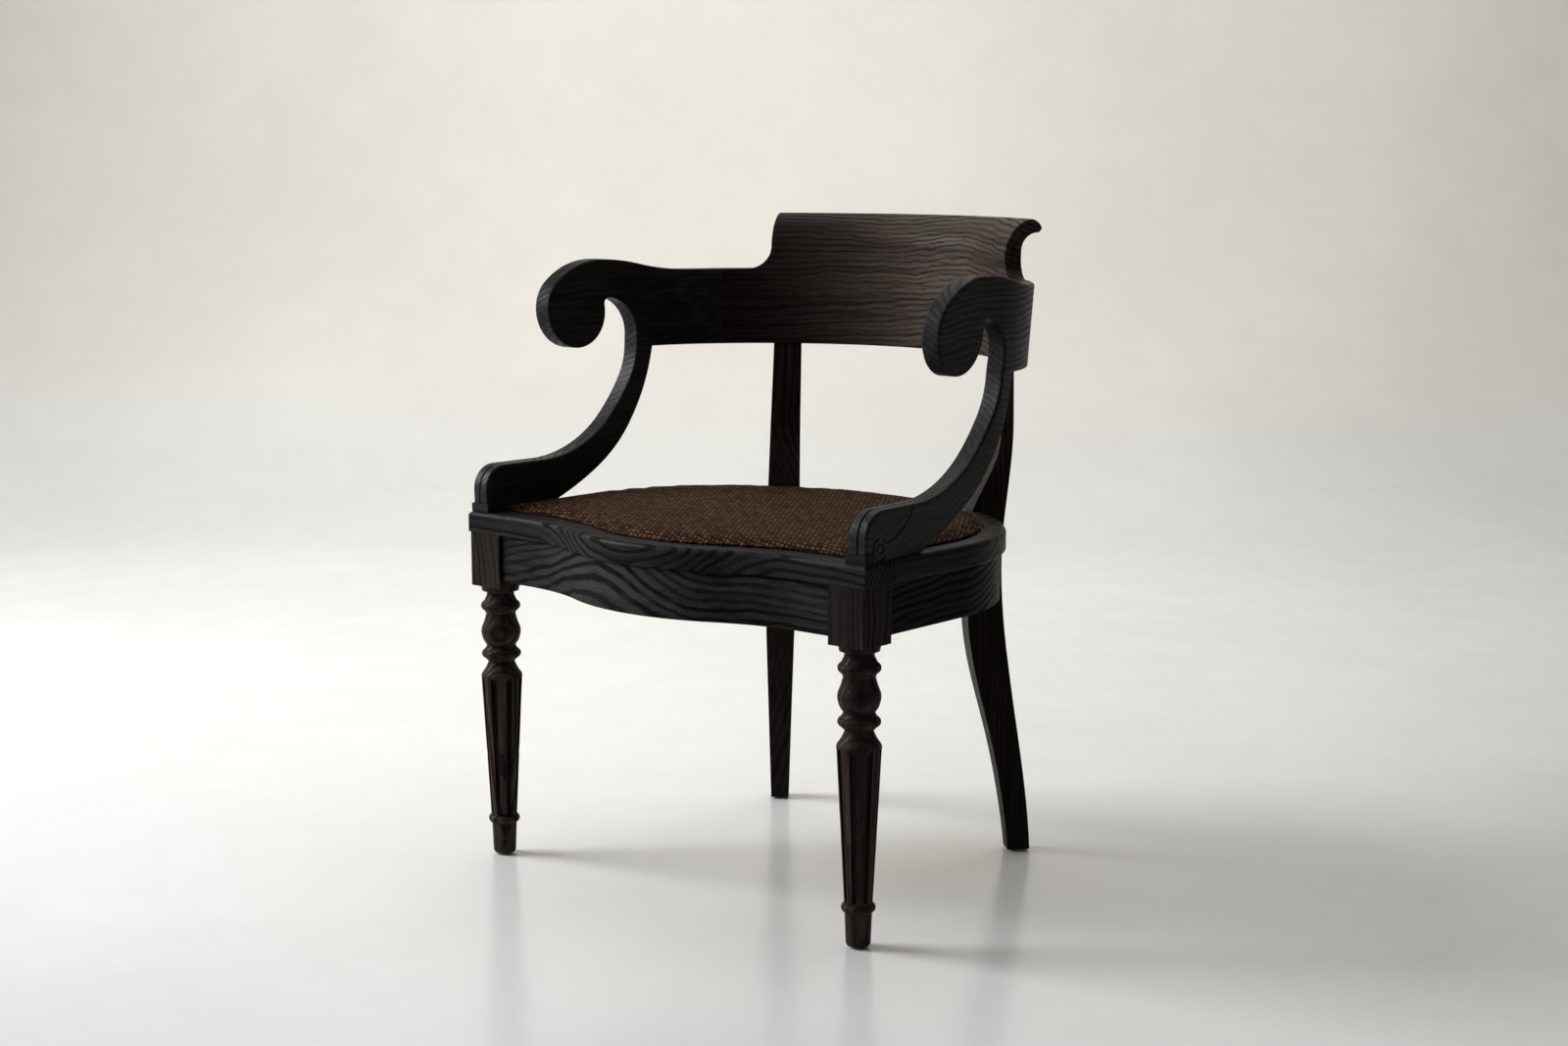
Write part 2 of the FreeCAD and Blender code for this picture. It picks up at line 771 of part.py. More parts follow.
def arm_outline_edges():
    """Side view of the arm: falling top edge, brow, round scroll and the crook behind it."""
    run = arm_low_y - arm_high_y
    fall = arm_high - arm_low
    top = yoke_bottom + arm_high
    low = yoke_bottom + arm_low
    sweep = (run ** 2 + fall ** 2) / (4 * fall)
    spread = math.degrees(math.asin(run / 2 / sweep))
    brow_z = top - arm_brow_radius
    cosine, sine = radians_pair(90 + arm_brow_angle)
    inner = arm_brow_radius - scroll_radius
    scroll_y = arm_high_y + inner * cosine
    scroll_z = brow_z + inner * sine
    throat_y = scroll_y + scroll_radius
    crook_z = yoke_bottom + crook_height
    end_y = arm_low_y + yoke_thickness * 2
    crook_top = side_point(throat_y + crook_radius * 1.4, crook_z)
    throat = side_point(throat_y, crook_z - crook_radius * 1.6)
    bend = side_point(throat_y + crook_radius * 0.25, crook_z - crook_radius * 0.5)
    back_low = side_point(crook_back_y, yoke_bottom + crook_height * 0.3)
    shoulder = side_point(crook_back_y - crook_height * 0.14, yoke_bottom + crook_height * 0.73)
    support_front = side_point(support_top_y, yoke_bottom)
    return [
        line(side_point(end_y, low), side_point(arm_low_y, low)),
        side_arc(arm_low_y, low + sweep, sweep, 270, 270 - spread),
        side_arc(arm_high_y, top - sweep, sweep, 90 - spread, 90),
        side_arc(arm_high_y, brow_z, arm_brow_radius, 90, 90 + arm_brow_angle),
        side_arc(scroll_y, scroll_z, scroll_radius, 90 + arm_brow_angle, 360),
        line(side_point(throat_y, scroll_z), throat),
        arc(throat, bend, crook_top),
        arc(crook_top, shoulder, back_low),
        line(back_low, support_front),
        line(support_front, side_point(end_y, yoke_bottom)),
        line(side_point(end_y, yoke_bottom), side_point(end_y, low)),
    ]


def arm():
    high = yoke_bottom + arm_high * 1.1
    low = yoke_bottom - scroll_radius
    band = arm_band(low, high, yoke_slope, arm_splay, yoke_corner_y)
    arm_shape = band.common(prism(arm_outline_edges(), Vector(yoke_half * 2, 0, 0)))
    under = (Vector(0, 0, yoke_bottom), UP)
    return softened(arm_shape, arris_round, [yoke_joint(), under])


# Arm supports
def support_outline_edges():
    """Side view of the support: a long shoe that sweeps up and back to the arm."""
    top_front = side_point(support_top_y, yoke_bottom)
    top_back = side_point(support_top_y + support_top_depth, yoke_bottom)
    shoe_top = plinth_top + shoe_height
    rise = yoke_bottom - shoe_top
    heel_rise = yoke_bottom - frame_top
    run = support_top_y - shoe_end
    heel_run = support_top_y + support_top_depth - shoe_heel
    front = [top_front]
    for share_y, share_z in ((0.96, 0.79), (0.83, 0.54), (0.58, 0.24), (0.28, 0.06), (0.0, 0.0)):
        front.append(side_point(shoe_end + run * share_y, shoe_top + rise * share_z))
    back = [side_point(shoe_heel, frame_top)]
    for share_y, share_z in ((0.33, 0.14), (0.63, 0.33), (0.83, 0.56), (0.95, 0.81)):
        back.append(side_point(shoe_heel + heel_run * share_y, frame_top + heel_rise * share_z))
    back.append(top_back)
    nose_y = -shoe_front
    nose_end = side_point(nose_y, plinth_top + shoe_height * 0.35)
    nose_top = side_point(shoe_length * 0.3 - shoe_front, shoe_top)
    nose_middle = side_point(nose_y + shoe_height * 0.18, plinth_top + shoe_height * 0.8)
    return [
        curve(front),
        line(front[-1], nose_top),
        arc(nose_top, nose_middle, nose_end),
        line(nose_end, side_point(nose_y, plinth_top)),
        line(side_point(nose_y, plinth_top), side_point(plinth_back, plinth_top)),
        line(side_point(plinth_back, plinth_top), side_point(plinth_back, frame_top)),
        line(side_point(plinth_back, frame_top), back[0]),
        curve(back),
        line(top_back, top_front),
    ]


def support_middle(y, z):
    """Middle of the support's thickness on its straight run."""
    cosine, sine = radians_pair(support_splay)
    reach = yoke_corner_radius + yoke_thickness / 2 + (z - yoke_bottom) * support_slope
    start_x = yoke_half - yoke_corner_radius + reach * cosine
    start_y = yoke_corner_y + reach * sine
    return start_x + (start_y - y) * sine / cosine


def shoe_groove_cutter():
    """Groove that splits the shoe's rounded front into two lobes and runs along its top."""
    shoe_top = plinth_top + shoe_height
    nose_y = -shoe_front
    deep = shoe_groove
    points = [
        (nose_y - deep, plinth_top),
        (nose_y + deep, plinth_top),
        (nose_y + deep, plinth_top + shoe_height * 0.38),
        (nose_y + deep + shoe_height * 0.16, plinth_top + shoe_height * 0.76),
        (nose_y + shoe_length * 0.32, shoe_top - deep),
        (nose_y + shoe_length, shoe_top - deep),
        (nose_y + shoe_length * 1.2, shoe_top + shoe_height),
        (nose_y - deep, shoe_top + shoe_height),
    ]
    outline = polygon_edges([side_point(y, z) for y, z in points])
    cutter = prism(outline, Vector(shoe_groove, 0, 0))
    middle_x = support_middle(0, plinth_top + shoe_height / 2)
    cutter.translate(Vector(middle_x - shoe_groove / 2, 0, 0))
    cutter.rotate(Vector(middle_x, 0, 0), UP, support_splay)
    return cutter


def ring_edges(centre_y, centre_z, radius, start_angle, end_angle):
    """Outline of a groove that follows an arc in the side view."""
    half = carving_width / 2
    outer = side_arc(centre_y, centre_z, radius + half, start_angle, end_angle)
    inner = side_arc(centre_y, centre_z, radius - half, start_angle, end_angle)
    first = line(inner.Vertexes[0].Point, outer.Vertexes[0].Point)
    last = line(inner.Vertexes[-1].Point, outer.Vertexes[-1].Point)
    return [first, outer, last, inner]


def shoe_carving():
    """Volute, its eye and the sweeping line, as prisms that run through the shoe."""
    volute_z = frame_top + volute_radius + carving_width / 2
    sweep_z = volute_z + sweep_rise + sweep_radius
    grooves = [
        ring_edges(volute_y, volute_z, volute_radius, 30, 30 + 360 - volute_gap),
        ring_edges(volute_y, volute_z, volute_eye_radius, -60, 200),
        ring_edges(volute_y, sweep_z, sweep_radius, 280, 341),
    ]
    across = Vector(yoke_half * 2, 0, 0)
    return Part.makeCompound([prism(Part.__sortEdges__(edges), across) for edges in grooves])


def arm_support():
    length = yoke_corner_y + shoe_length
    band = arm_band(frame_top, yoke_bottom, support_slope, support_splay, length)
    core = arm_band(frame_top, yoke_bottom, support_slope, support_splay, length, carving_depth)
    support = band.common(prism(support_outline_edges(), Vector(yoke_half * 2, 0, 0)))
    flats = [(Vector(0, 0, z), UP) for z in (yoke_bottom, plinth_top, frame_top)]
    flats.append((Vector(0, plinth_back, 0), Vector(0, 1, 0)))
    support = softened(support, arris_round, flats).cut(shoe_groove_cutter())
    return support.cut(shoe_carving().common(band.cut(core)))


def arm_plinth():
    middle = support_middle(0, plinth_top)
    half = plinth_width / 2
    return slab(middle - half, middle + half, -plinth_front, plinth_back, frame_top, plinth_top)


# Glue blocks
def corner_block():
    inner_y = seat_front + front_rail_setback + rail_thickness
    inner_x = seat_half - rail_setback - rail_thickness
    leg_inner = leg_x - leg_block / 2
    leg_back = leg_block / 2
    low = frame_bottom - corner_block_height
    points = [
        Vector(leg_inner - corner_block_reach, inner_y, low),
        Vector(leg_inner, inner_y, low),
        Vector(leg_inner, leg_back, low),
        Vector(inner_x, leg_back, low),
        Vector(inner_x, leg_back + corner_block_reach, low),
    ]
    return prism(polygon_edges(points), UP * corner_block_height)


def splice_block():
    """Curved cleat behind the butt joint of the side and back rails."""
    outer = rail_setback + rail_thickness
    inner = outer + splice_block_depth
    low = rail_bottom + splice_block_margin
    high = frame_bottom
    half = splice_block_width / 2
    window = rear_box(-rear_splay * 2, 0, -half, half, low, high)
    return rail_ring(inner, outer, low, high).common(window)


# Dowels and screws
def arm_joint_dowels():
    cosine, sine = radians_pair(yoke_turn)
    along = Vector(-sine, cosine, 0)
    corner_x = yoke_half - yoke_corner_radius
    dowels = []
    for share in (0.2, 0.5, 0.8):
        z = yoke_bottom + arm_low * share
        reach = yoke_corner_radius + yoke_thickness / 2 + (z - yoke_bottom) * yoke_slope
        middle = Vector(corner_x + reach * cosine, yoke_corner_y + reach * sine, z)
        dowels.append(dowel(middle - along * dowel_length / 2, along, dowel_length, dowel_radius))
    return dowels


def support_top_dowel():
    middle_y = support_top_y + support_top_depth / 2
    corner_x = yoke_half - yoke_corner_radius
    reach = yoke_corner_radius + yoke_thickness / 2
    middle_x = corner_x + math.sqrt(reach ** 2 - (middle_y - yoke_corner_y) ** 2)
    start = Vector(middle_x, middle_y, yoke_bottom - dowel_length / 2)
    return dowel(start, UP, dowel_length, dowel_radius)


def shoe_dowels():
    front_x = support_middle(0, plinth_top)
    heel_x = support_middle(shoe_heel / 2, frame_top)
    front = Vector(front_x, 0, frame_bottom - dowel_length / 2)
    front_length = plinth_top - frame_bottom + dowel_length
    heel = Vector(heel_x, shoe_heel / 2, frame_top - ledge_depth)
    heel_length = ledge_depth + dowel_length / 2
    return [
        dowel(front, UP, front_length, shoe_dowel_radius),
        dowel(heel, UP, heel_length, shoe_dowel_radius),
    ]


def frame_dowels():
    """Dowels in the butt joints of the seat frame at the front and behind each rear leg."""
    z = frame_bottom + (frame_thickness - ledge_depth) / 2
    side_x = seat_half - (frame_border + frame_ledge) / 2
    front = Vector(side_x, frame_joint_y - dowel_length / 2, z)
    return [dowel(front, Vector(0, 1, 0), dowel_length, dowel_radius)]


def corner_block_screws():
    """Two level screws that hold each corner block to the front and side rails."""
    z = frame_bottom - corner_block_height / 2
    inner_y = seat_front + front_rail_setback + rail_thickness
    inner_x = seat_half - rail_setback - rail_thickness
    slope_x = leg_x - leg_block / 2 - corner_block_reach * 0.45
    side_y = leg_block / 2 + corner_block_reach * 0.45
    block_run_x = inner_x - (leg_x - leg_block / 2 - corner_block_reach)
    block_run_y = leg_block / 2 + corner_block_reach - inner_y
    grade = block_run_y / block_run_x
    front_depth = (slope_x - (leg_x - leg_block / 2 - corner_block_reach)) * grade
    side_depth = (leg_block / 2 + corner_block_reach - side_y) / grade
    bite = rail_thickness * 0.7
    front = screw(Vector(slope_x, inner_y + front_depth, z), Vector(0, -1, 0), front_depth + bite)
    side = screw(Vector(inner_x - side_depth, side_y, z), Vector(1, 0, 0), side_depth + bite)
    return [front, side]


def frame_screws():
    """Upright screws through the corner and splice blocks into the seat frame."""
    bite = (frame_thickness - ledge_depth) * 0.7
    low = frame_bottom - corner_block_height
    inner_x = seat_half - rail_setback - rail_thickness
    corner = Vector(inner_x - screw_edge, leg_block / 2 + screw_edge * 2, low)
    splice_low = rail_bottom + splice_block_margin
    depth = rail_setback + rail_thickness + screw_edge
    front = screw(corner, UP, corner_block_height + bite)
    screws = [front]
    for t in (-splice_block_width * 0.3, splice_block_width * 0.3):
        place = on_seat_curve(depth, t)
        head = Vector(place.x, place.y, splice_low)
        screws.append(screw(head, UP, frame_bottom - splice_low + bite))
    return screws


def on_seat_curve(inset, t):
    """Point on the inset back arc, t beside the rear leg's middle plane."""
    start = rear_point(0, t, 0)
    inward = along_rear_leg() * -1
    centre = Vector(0, seat_back_y, 0)
    offset = start - centre
    along = offset.dot(inward)
    radius = seat_back_radius - inset
    step = -along - math.sqrt(along ** 2 - offset.Length ** 2 + radius ** 2)
    return start + inward * step


def rear_leg_screws():
    """Two level screws from inside through splice block and rails into each rear leg."""
    inset = rail_setback + rail_thickness + splice_block_depth
    screws = []
    for share, t in ((0.3, 8.0), (0.72, -8.0)):
        start = on_seat_curve(inset - 1.0, t)
        start.z = rail_bottom + rail_height * share
        length = splice_block_depth + rail_thickness + rear_seat_depth * 0.6
        screws.append(screw(start, along_rear_leg(), length))
    return screws


def cut_all(shape, tools):
    for tool in tools:
        shape = shape.cut(tool)
    return shape


def both(shapes):
    return shapes + [mirrored(shape) for shape in shapes]


def together(shapes):
    return Part.makeCompound(shapes)


def leg_pieces(pieces, stile, screws):
    """Front and rear legs with the glides under them; right-hand pieces only."""
    front_glide = glide(leg_x, 0)
    rear_glide = glide(rear_foot_x, rear_foot_y)
    tools = [front_tenon(), side_tenon(), front_glide] + shoe_dowels()
    pieces["front_leg"] = cut_all(front_leg(), tools)
    pieces["rear_leg"] = cut_all(stile, [rear_glide] + screws)
    pieces["front_glide"] = front_glide
    pieces["rear_glide"] = rear_glide


def right_pieces():
    """Pieces that the chair has twice, as they stand on its right-hand side."""
    pieces = {}
    stile = rear_leg()
    foot_dowels = shoe_dowels()
    block_screws = corner_block_screws()
    border_screws = frame_screws()
    leg_screws = rear_leg_screws()
    leg_pieces(pieces, stile, leg_screws)
    pieces["side_rail"] = cut_all(side_rail(), [stile] + block_screws + leg_screws)
    pieces["corner_block"] = cut_all(corner_block(), block_screws + border_screws)
    pieces["splice_block"] = cut_all(splice_block(), leg_screws + border_screws)
    side_border = frame_pieces()[1]
    side_tools = [stile] + foot_dowels + frame_dowels() + border_screws
    pieces["seat_frame_side"] = cut_all(side_border, side_tools)
    pieces["arm_plinth"] = cut_all(arm_plinth(), foot_dowels)
    pieces["arm_support"] = cut_all(arm_support(), foot_dowels + [support_top_dowel()])
    pieces["arm"] = cut_all(arm(), arm_joint_dowels() + [support_top_dowel()])
    return pieces


def middle_pieces():
    """Pieces that reach across the chair, and the groups of dowels and screws."""
    stile = rear_leg()
    block_screws = both(corner_block_screws())
    border_screws = both(frame_screws())
    leg_screws = both(rear_leg_screws())
    frame_pins = both(frame_dowels())
    foot_dowels = both(shoe_dowels())
    joint_dowels = both(arm_joint_dowels())
    front_border, _, back_border = frame_pieces()
    front_tools = foot_dowels + frame_pins + border_screws
    return {
        "front_rail": cut_all(front_rail(), block_screws),
        "back_rail": cut_all(back_rail(), both([stile]) + leg_screws),
        "seat_frame_front": cut_all(front_border, front_tools),
        "seat_frame_back": cut_all(back_border, both([stile]) + border_screws),
        "seat_board": seat_board(),
        "seat_pad": seat_pad(),
        "back_board": cut_all(back_board(), both([stile_tenon()]) + joint_dowels),
        "arm_joint_dowels": together(joint_dowels),
        "arm_support_dowels": together(both([support_top_dowel()]) + foot_dowels),
        "seat_frame_dowels": together(frame_pins),
        "corner_block_screws": together(block_screws),
        "seat_frame_screws": together(border_screws),
        "rear_leg_screws": together(leg_screws),
    }


def main():
    pieces = middle_pieces()
    for name, shape in right_pieces().items():
        pieces[name + "_right"] = shape
        pieces[name + "_left"] = mirrored(shape)
    # The chair is moved so that its bounding box stands centred on the origin
    back_extent = pieces["back_board"].optimalBoundingBox(False).YMax
    front_extent = seat_front - bow_depth
    centring = Vector(0, -(front_extent + back_extent) / 2, 0)
    os.makedirs("parts", exist_ok=True)
    for name, shape in pieces.items():
        shape.translate(centring)
        shape.exportStep("parts/" + name + ".step")


main()
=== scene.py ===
# %% [markdown]
# # A klismos armchair in dark oak
# The solids of this chair come from a CAD model, and they already have their real
# shape and size. This lesson dresses them: every wooden piece gets dark oak whose
# grain runs the way the piece was sawn, and the flat pad becomes a woven seat.
# All lengths are metres, and every piece stays exactly where the CAD model puts it.

# %% Load the chair
import bmesh
import bpy
import math
from mathutils import Matrix, Vector


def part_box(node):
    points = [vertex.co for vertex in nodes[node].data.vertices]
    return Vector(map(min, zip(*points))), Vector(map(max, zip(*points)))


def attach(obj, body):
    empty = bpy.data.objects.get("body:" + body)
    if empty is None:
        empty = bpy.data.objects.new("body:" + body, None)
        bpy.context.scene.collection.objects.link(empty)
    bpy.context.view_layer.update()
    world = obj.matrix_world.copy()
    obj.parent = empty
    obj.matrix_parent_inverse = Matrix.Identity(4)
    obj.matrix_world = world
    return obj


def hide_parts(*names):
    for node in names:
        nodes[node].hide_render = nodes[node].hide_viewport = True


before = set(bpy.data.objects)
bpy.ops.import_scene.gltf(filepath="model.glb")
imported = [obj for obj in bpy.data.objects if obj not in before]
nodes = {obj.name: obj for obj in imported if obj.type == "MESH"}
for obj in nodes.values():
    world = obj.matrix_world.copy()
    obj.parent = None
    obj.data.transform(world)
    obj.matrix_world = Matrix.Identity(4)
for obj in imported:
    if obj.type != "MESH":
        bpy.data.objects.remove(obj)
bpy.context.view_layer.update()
print("pieces in the chair:", len(nodes))

# %% [markdown]
# ## Arithmetic with node sockets
# A wood or cloth pattern is a formula. It could be built from one Math node after
# another, but that gets long and hard to read. So a small class carries a socket and
# lets the formula be written with plus, minus, times and divided by. Each operation
# still becomes an ordinary Math node, and a ramp becomes a Map Range node.

# %% A value that is carried through a material
class Flow:
    def __init__(self, tree, socket):
        self.tree = tree
        self.socket = socket

    def math(self, operation, *others):
        node = self.tree.nodes.new("ShaderNodeMath")
        node.operation = operation
        for index, value in enumerate((self,) + others):
            feed(self.tree, value, node.inputs[index])
        return Flow(self.tree, node.outputs[0])

    def __add__(self, other):
        return self.math("ADD", other)

    def __sub__(self, other):
        return self.math("SUBTRACT", other)

    def __mul__(self, other):
        return self.math("MULTIPLY", other)

    def __truediv__(self, other):
        return self.math("DIVIDE", other)

    def ramp(self, low, high, start=0.0, end=1.0):
        """Eases from start to end while the value goes from low to high."""
        node = self.tree.nodes.new("ShaderNodeMapRange")
        node.interpolation_type = "SMOOTHSTEP"
        for name, value in (("Value", self), ("From Min", low), ("From Max", high)):
            feed(self.tree, value, node.inputs[name])
        feed(self.tree, start, node.inputs["To Min"])
        feed(self.tree, end, node.inputs["To Max"])
        return Flow(self.tree, node.outputs["Result"])


def feed(tree, value, socket):
    """Links a flow to a socket, or writes a plain number or colour into it."""
    if isinstance(value, Flow):
        tree.links.new(value.socket, socket)
    else:
        socket.default_value = value


def bell(value, centre, width):
    """Gives one at the centre, and falls to nought on both sides of it."""
    away = (value - centre) / width
    return (away * away * -1.0).math("EXPONENT")


print("a flow takes + - * / and has the methods math and ramp")

# %% [markdown]
# ## Start a material
# Every finish here is a Principled BSDF whose colour, roughness and bump are worked
# out from the piece's own Object coordinates. An unwrapped image would stretch and
# would stop at each seam, while a formula in Object coordinates runs through the solid,
# so that the grain agrees on both sides of every edge.

# %% Start a material and read its coordinates
def new_finish(name, roughness, specular):
    finish = bpy.data.materials.new(name)
    finish.use_nodes = True
    shader = finish.node_tree.nodes["Principled BSDF"]
    shader.inputs["Roughness"].default_value = roughness
    shader.inputs["Specular IOR Level"].default_value = specular
    return finish, finish.node_tree, shader


def place_on_piece(tree):
    coordinates = tree.nodes.new("ShaderNodeTexCoord")
    split = tree.nodes.new("ShaderNodeSeparateXYZ")
    tree.links.new(coordinates.outputs["Object"], split.inputs[0])
    return [Flow(tree, split.outputs[axis]) for axis in ("X", "Y", "Z")]


def joined(tree, x, y, z):
    join = tree.nodes.new("ShaderNodeCombineXYZ")
    for value, socket in zip((x, y, z), join.inputs):
        feed(tree, value, socket)
    return Flow(tree, join.outputs[0])


print("a place on a piece is three flows, x, y and z in metres")

# %% [markdown]
# ## Noise, colour and bump
# The rest of each finish is made of four steps: read soft noise at a place, mix two
# colours, scale a colour, and let a height bend the light. Each is one node that
# needs a few lines to set, so each gets a helper that sets it the same way everywhere.

# %% Read noise, mix colours and bump the surface
def noise(tree, place, scale=1.0, detail=2.0):
    """Soft noise, centred on zero and about one wide."""
    texture = tree.nodes.new("ShaderNodeTexNoise")
    texture.inputs["Scale"].default_value = scale
    texture.inputs["Detail"].default_value = detail
    feed(tree, place, texture.inputs["Vector"])
    return Flow(tree, texture.outputs[0]) - 0.5


def mixed(tree, amount, first, second):
    mix = tree.nodes.new("ShaderNodeMix")
    mix.data_type = "RGBA"
    first_colour, second_colour, result = mix.inputs[6], mix.inputs[7], mix.outputs[2]
    feed(tree, amount, mix.inputs["Factor"])
    for value, socket in ((first, first_colour), (second, second_colour)):
        feed(tree, value if isinstance(value, Flow) else (*value, 1.0), socket)
    return Flow(tree, result)


def scaled(tree, colour, amount):
    node = tree.nodes.new("ShaderNodeVectorMath")
    node.operation = "SCALE"
    feed(tree, colour, node.inputs[0])
    feed(tree, amount, node.inputs["Scale"])
    return Flow(tree, node.outputs[0])


def bumped(tree, height, shader, strength, distance):
    bump = tree.nodes.new("ShaderNodeBump")
    bump.inputs["Strength"].default_value = strength
    bump.inputs["Distance"].default_value = distance
    feed(tree, height, bump.inputs["Height"])
    tree.links.new(bump.outputs["Normal"], shader.inputs["Normal"])
    return bump


print("steps of a finish:", ", ".join(step.__name__ for step in (noise, mixed, scaled, bumped)))

# %% [markdown]
# ## The rings of the tree
# A board is a slice through the rings of a tree. Lines could simply be drawn along the
# board, but they would not close round its end or turn into arches on its face. So the
# pattern is worked out as it grew: the distance from the tree's heart, bent by slow
# noise and divided by the width of a year, counts the years. A hill in the height of
# the heart draws the arches of a flat-sawn board.

# %% Count the years of growth
ALONG, ACROSS, DEEP = range(3)


def grained_noise(tree, board, rates, seed, shifted, detail=1.0):
    """Noise that is drawn out along the grain, at one rate along and another across it.

    A rate is how fast the noise runs for each metre. The seed moves it to another place
    of the tree, in the direction that is named by shifted.
    """
    lengthwise, crosswise = rates
    place = [board[ALONG] * lengthwise, board[ACROSS] * crosswise, board[DEEP] * crosswise]
    place[shifted] = place[shifted] + seed
    return noise(tree, joined(tree, *place), detail=detail)


def years_of_growth(tree, board, year, heart, hill, seed, wave, swirl):
    """Counts the years from the heart of the tree to each point of the board."""
    slow = grained_noise(tree, board, (3.4, 8.0), seed, ALONG)
    bend = grained_noise(tree, board, (2.6, 7.0), seed, ACROSS)
    wavy = grained_noise(tree, board, (26.0, 30.0), seed, ACROSS, detail=2.0)
    hill_centre, hill_width, hill_height = hill
    arch = bell(board[ALONG], hill_centre, hill_width) * hill_height
    side = board[ACROSS] - heart[0] - arch + slow * (0.035 * swirl) + wavy * wave
    back = board[DEEP] - heart[1] + bend * (0.03 * swirl)
    reach = (side * side + back * back).math("SQRT")
    crowd = noise(tree, joined(tree, seed, reach * 26.0, board[ALONG] * 2.0), detail=1.0)
    return reach / year + wavy * 0.35 + crowd * 1.6


print("directions of a board:", {"along": ALONG, "across": ACROSS, "into it": DEEP})

# %% [markdown]
# ## Dark oak
# Oak is ring-porous: each year starts with a row of wide pores, so a stained board
# shows dark open lines with denser wood between them. One wave along the years would
# draw every line alike, but real years differ. So each year has its own strength, and
# along the board a line fades and comes back. Short pores and fine fibres are noise
# that is drawn out along the grain, and slow patches and streaks move the tone.

# %% The grain of one board
FIBRE_RATES = (24.0, 700.0)
PORE_RATES = (70.0, 1150.0)
PATCH_RATES = (5.0, 15.0)
STREAK_RATES = (4.0, 130.0)
LINE_OPENS = (0.44, 0.6)
LINE_CLOSES = (0.9, 0.98)


def open_lines(tree, board, years, seed):
    """The line of wide pores that starts each year, stronger in some years and places."""
    part = years.math("FRACT")
    line = part.ramp(*LINE_OPENS) * part.ramp(*LINE_CLOSES, 1.0, 0.0)
    growth = tree.nodes.new("ShaderNodeTexWhiteNoise")
    growth.noise_dimensions = "1D"
    feed(tree, years.math("FLOOR") + seed, growth.inputs["W"])
    fading = grained_noise(tree, board, (9.0, 55.0), seed, ALONG)
    line = line * fading.ramp(-0.28, 0.0, 0.55, 1.0)
    return line * Flow(tree, growth.outputs["Value"]).ramp(0.0, 0.6, 0.5, 1.0)


def grain_of_board(tree, board, year, heart, hill, seed, wave=0.004, swirl=1.0):
    """Returns the open yearly lines, the fibres, the pores and the slow patches of a board."""
    years = years_of_growth(tree, board, year, heart, hill, seed, wave, swirl)
    line = open_lines(tree, board, years, seed)
    fibre = grained_noise(tree, board, FIBRE_RATES, seed, DEEP, detail=2.0)
    pores = grained_noise(tree, board, PORE_RATES, seed, ACROSS).ramp(0.07, 0.17)
    pores = pores * years.math("FRACT").ramp(0.25, 0.8, 0.3, 1.0)
    patch = grained_noise(tree, board, PATCH_RATES, seed, ALONG, detail=2.0)
    streak = grained_noise(tree, board, STREAK_RATES, seed, ACROSS, detail=3.0)
    return line, fibre, pores, patch * 0.6 + streak * 0.9


for name, (lengthwise, crosswise) in (("fibres", FIBRE_RATES), ("pores", PORE_RATES)):
    print(name, "are", round(crosswise / lengthwise), "times as long as they are wide")

# %% [markdown]
# ## Rubbed and highlit edges, stained and shaded hollows
# Hands and cloths rub the stain off the arrises, so they are a little lighter, and a
# painted highlight lightens them further. The edges could be bevelled and painted by
# hand, but the Bevel node finds them: it gives the normal that a rounded edge would
# have, and where that differs from the real normal there is an edge. The same rounded
# normal is used for the shading, because no wooden edge is razor sharp. In hollows the
# stain gathers, and painted shade darkens them and the places close to other parts: an
# Ambient Occlusion node that looks only a few millimetres far finds the turned grooves
# and carved lines.

# %% Find the edges and the hollows
EDGE_STARTS, EDGE_FULL = 0.99, 0.8


def rounded_edges(tree, radius):
    """Gives the rounded normal, and how near the surface is to an edge."""
    bevel = tree.nodes.new("ShaderNodeBevel")
    bevel.samples = 4
    bevel.inputs["Radius"].default_value = radius
    surface = tree.nodes.new("ShaderNodeNewGeometry")
    compare = tree.nodes.new("ShaderNodeVectorMath")
    compare.operation = "DOT_PRODUCT"
    tree.links.new(bevel.outputs["Normal"], compare.inputs[0])
    tree.links.new(surface.outputs["Normal"], compare.inputs[1])
    edge = Flow(tree, compare.outputs["Value"]).ramp(EDGE_FULL, EDGE_STARTS, 1.0, 0.0)
    return bevel.outputs["Normal"], edge


def stain_and_shade_in_hollows(tree, distance):
    """Nought in the open, one deep in a hollow or close to another part: gathered stain and painted shade.
    """
    hollow = tree.nodes.new("ShaderNodeAmbientOcclusion")
    hollow.samples = 6
    hollow.inputs["Distance"].default_value = distance
    return Flow(tree, hollow.outputs["AO"]).ramp(0.5, 0.96, 1.0, 0.0)


for word, cosine in (("starts", EDGE_STARTS), ("is full", EDGE_FULL)):
    print("an edge", word, "where the normal turns by", round(math.degrees(math.acos(cosine))), "degrees")

# %% [markdown]
# ## Stain on the board
# The stain is almost black but lets some brown through. One flat colour would look
# like paint, so the stain follows the wood: lighter and darker with the slow patches,
# darker in the fibres. The colour of a board may also be made lighter round one place
# along its length.

# %% Stain the board
PALE_STAIN = (0.023, 0.0215, 0.021)
DARK_STAIN = (0.0088, 0.0073, 0.0068)
FIBRE_STAIN = (0.002, 0.0016, 0.0015)
PORE_STAIN = (0.0007, 0.0006, 0.0006)
HOLLOW_STAIN_AND_SHADE = (0.0006, 0.0005, 0.0004)
FLUTE_STAIN_AND_SHADE = (0.0012, 0.0009, 0.0008)


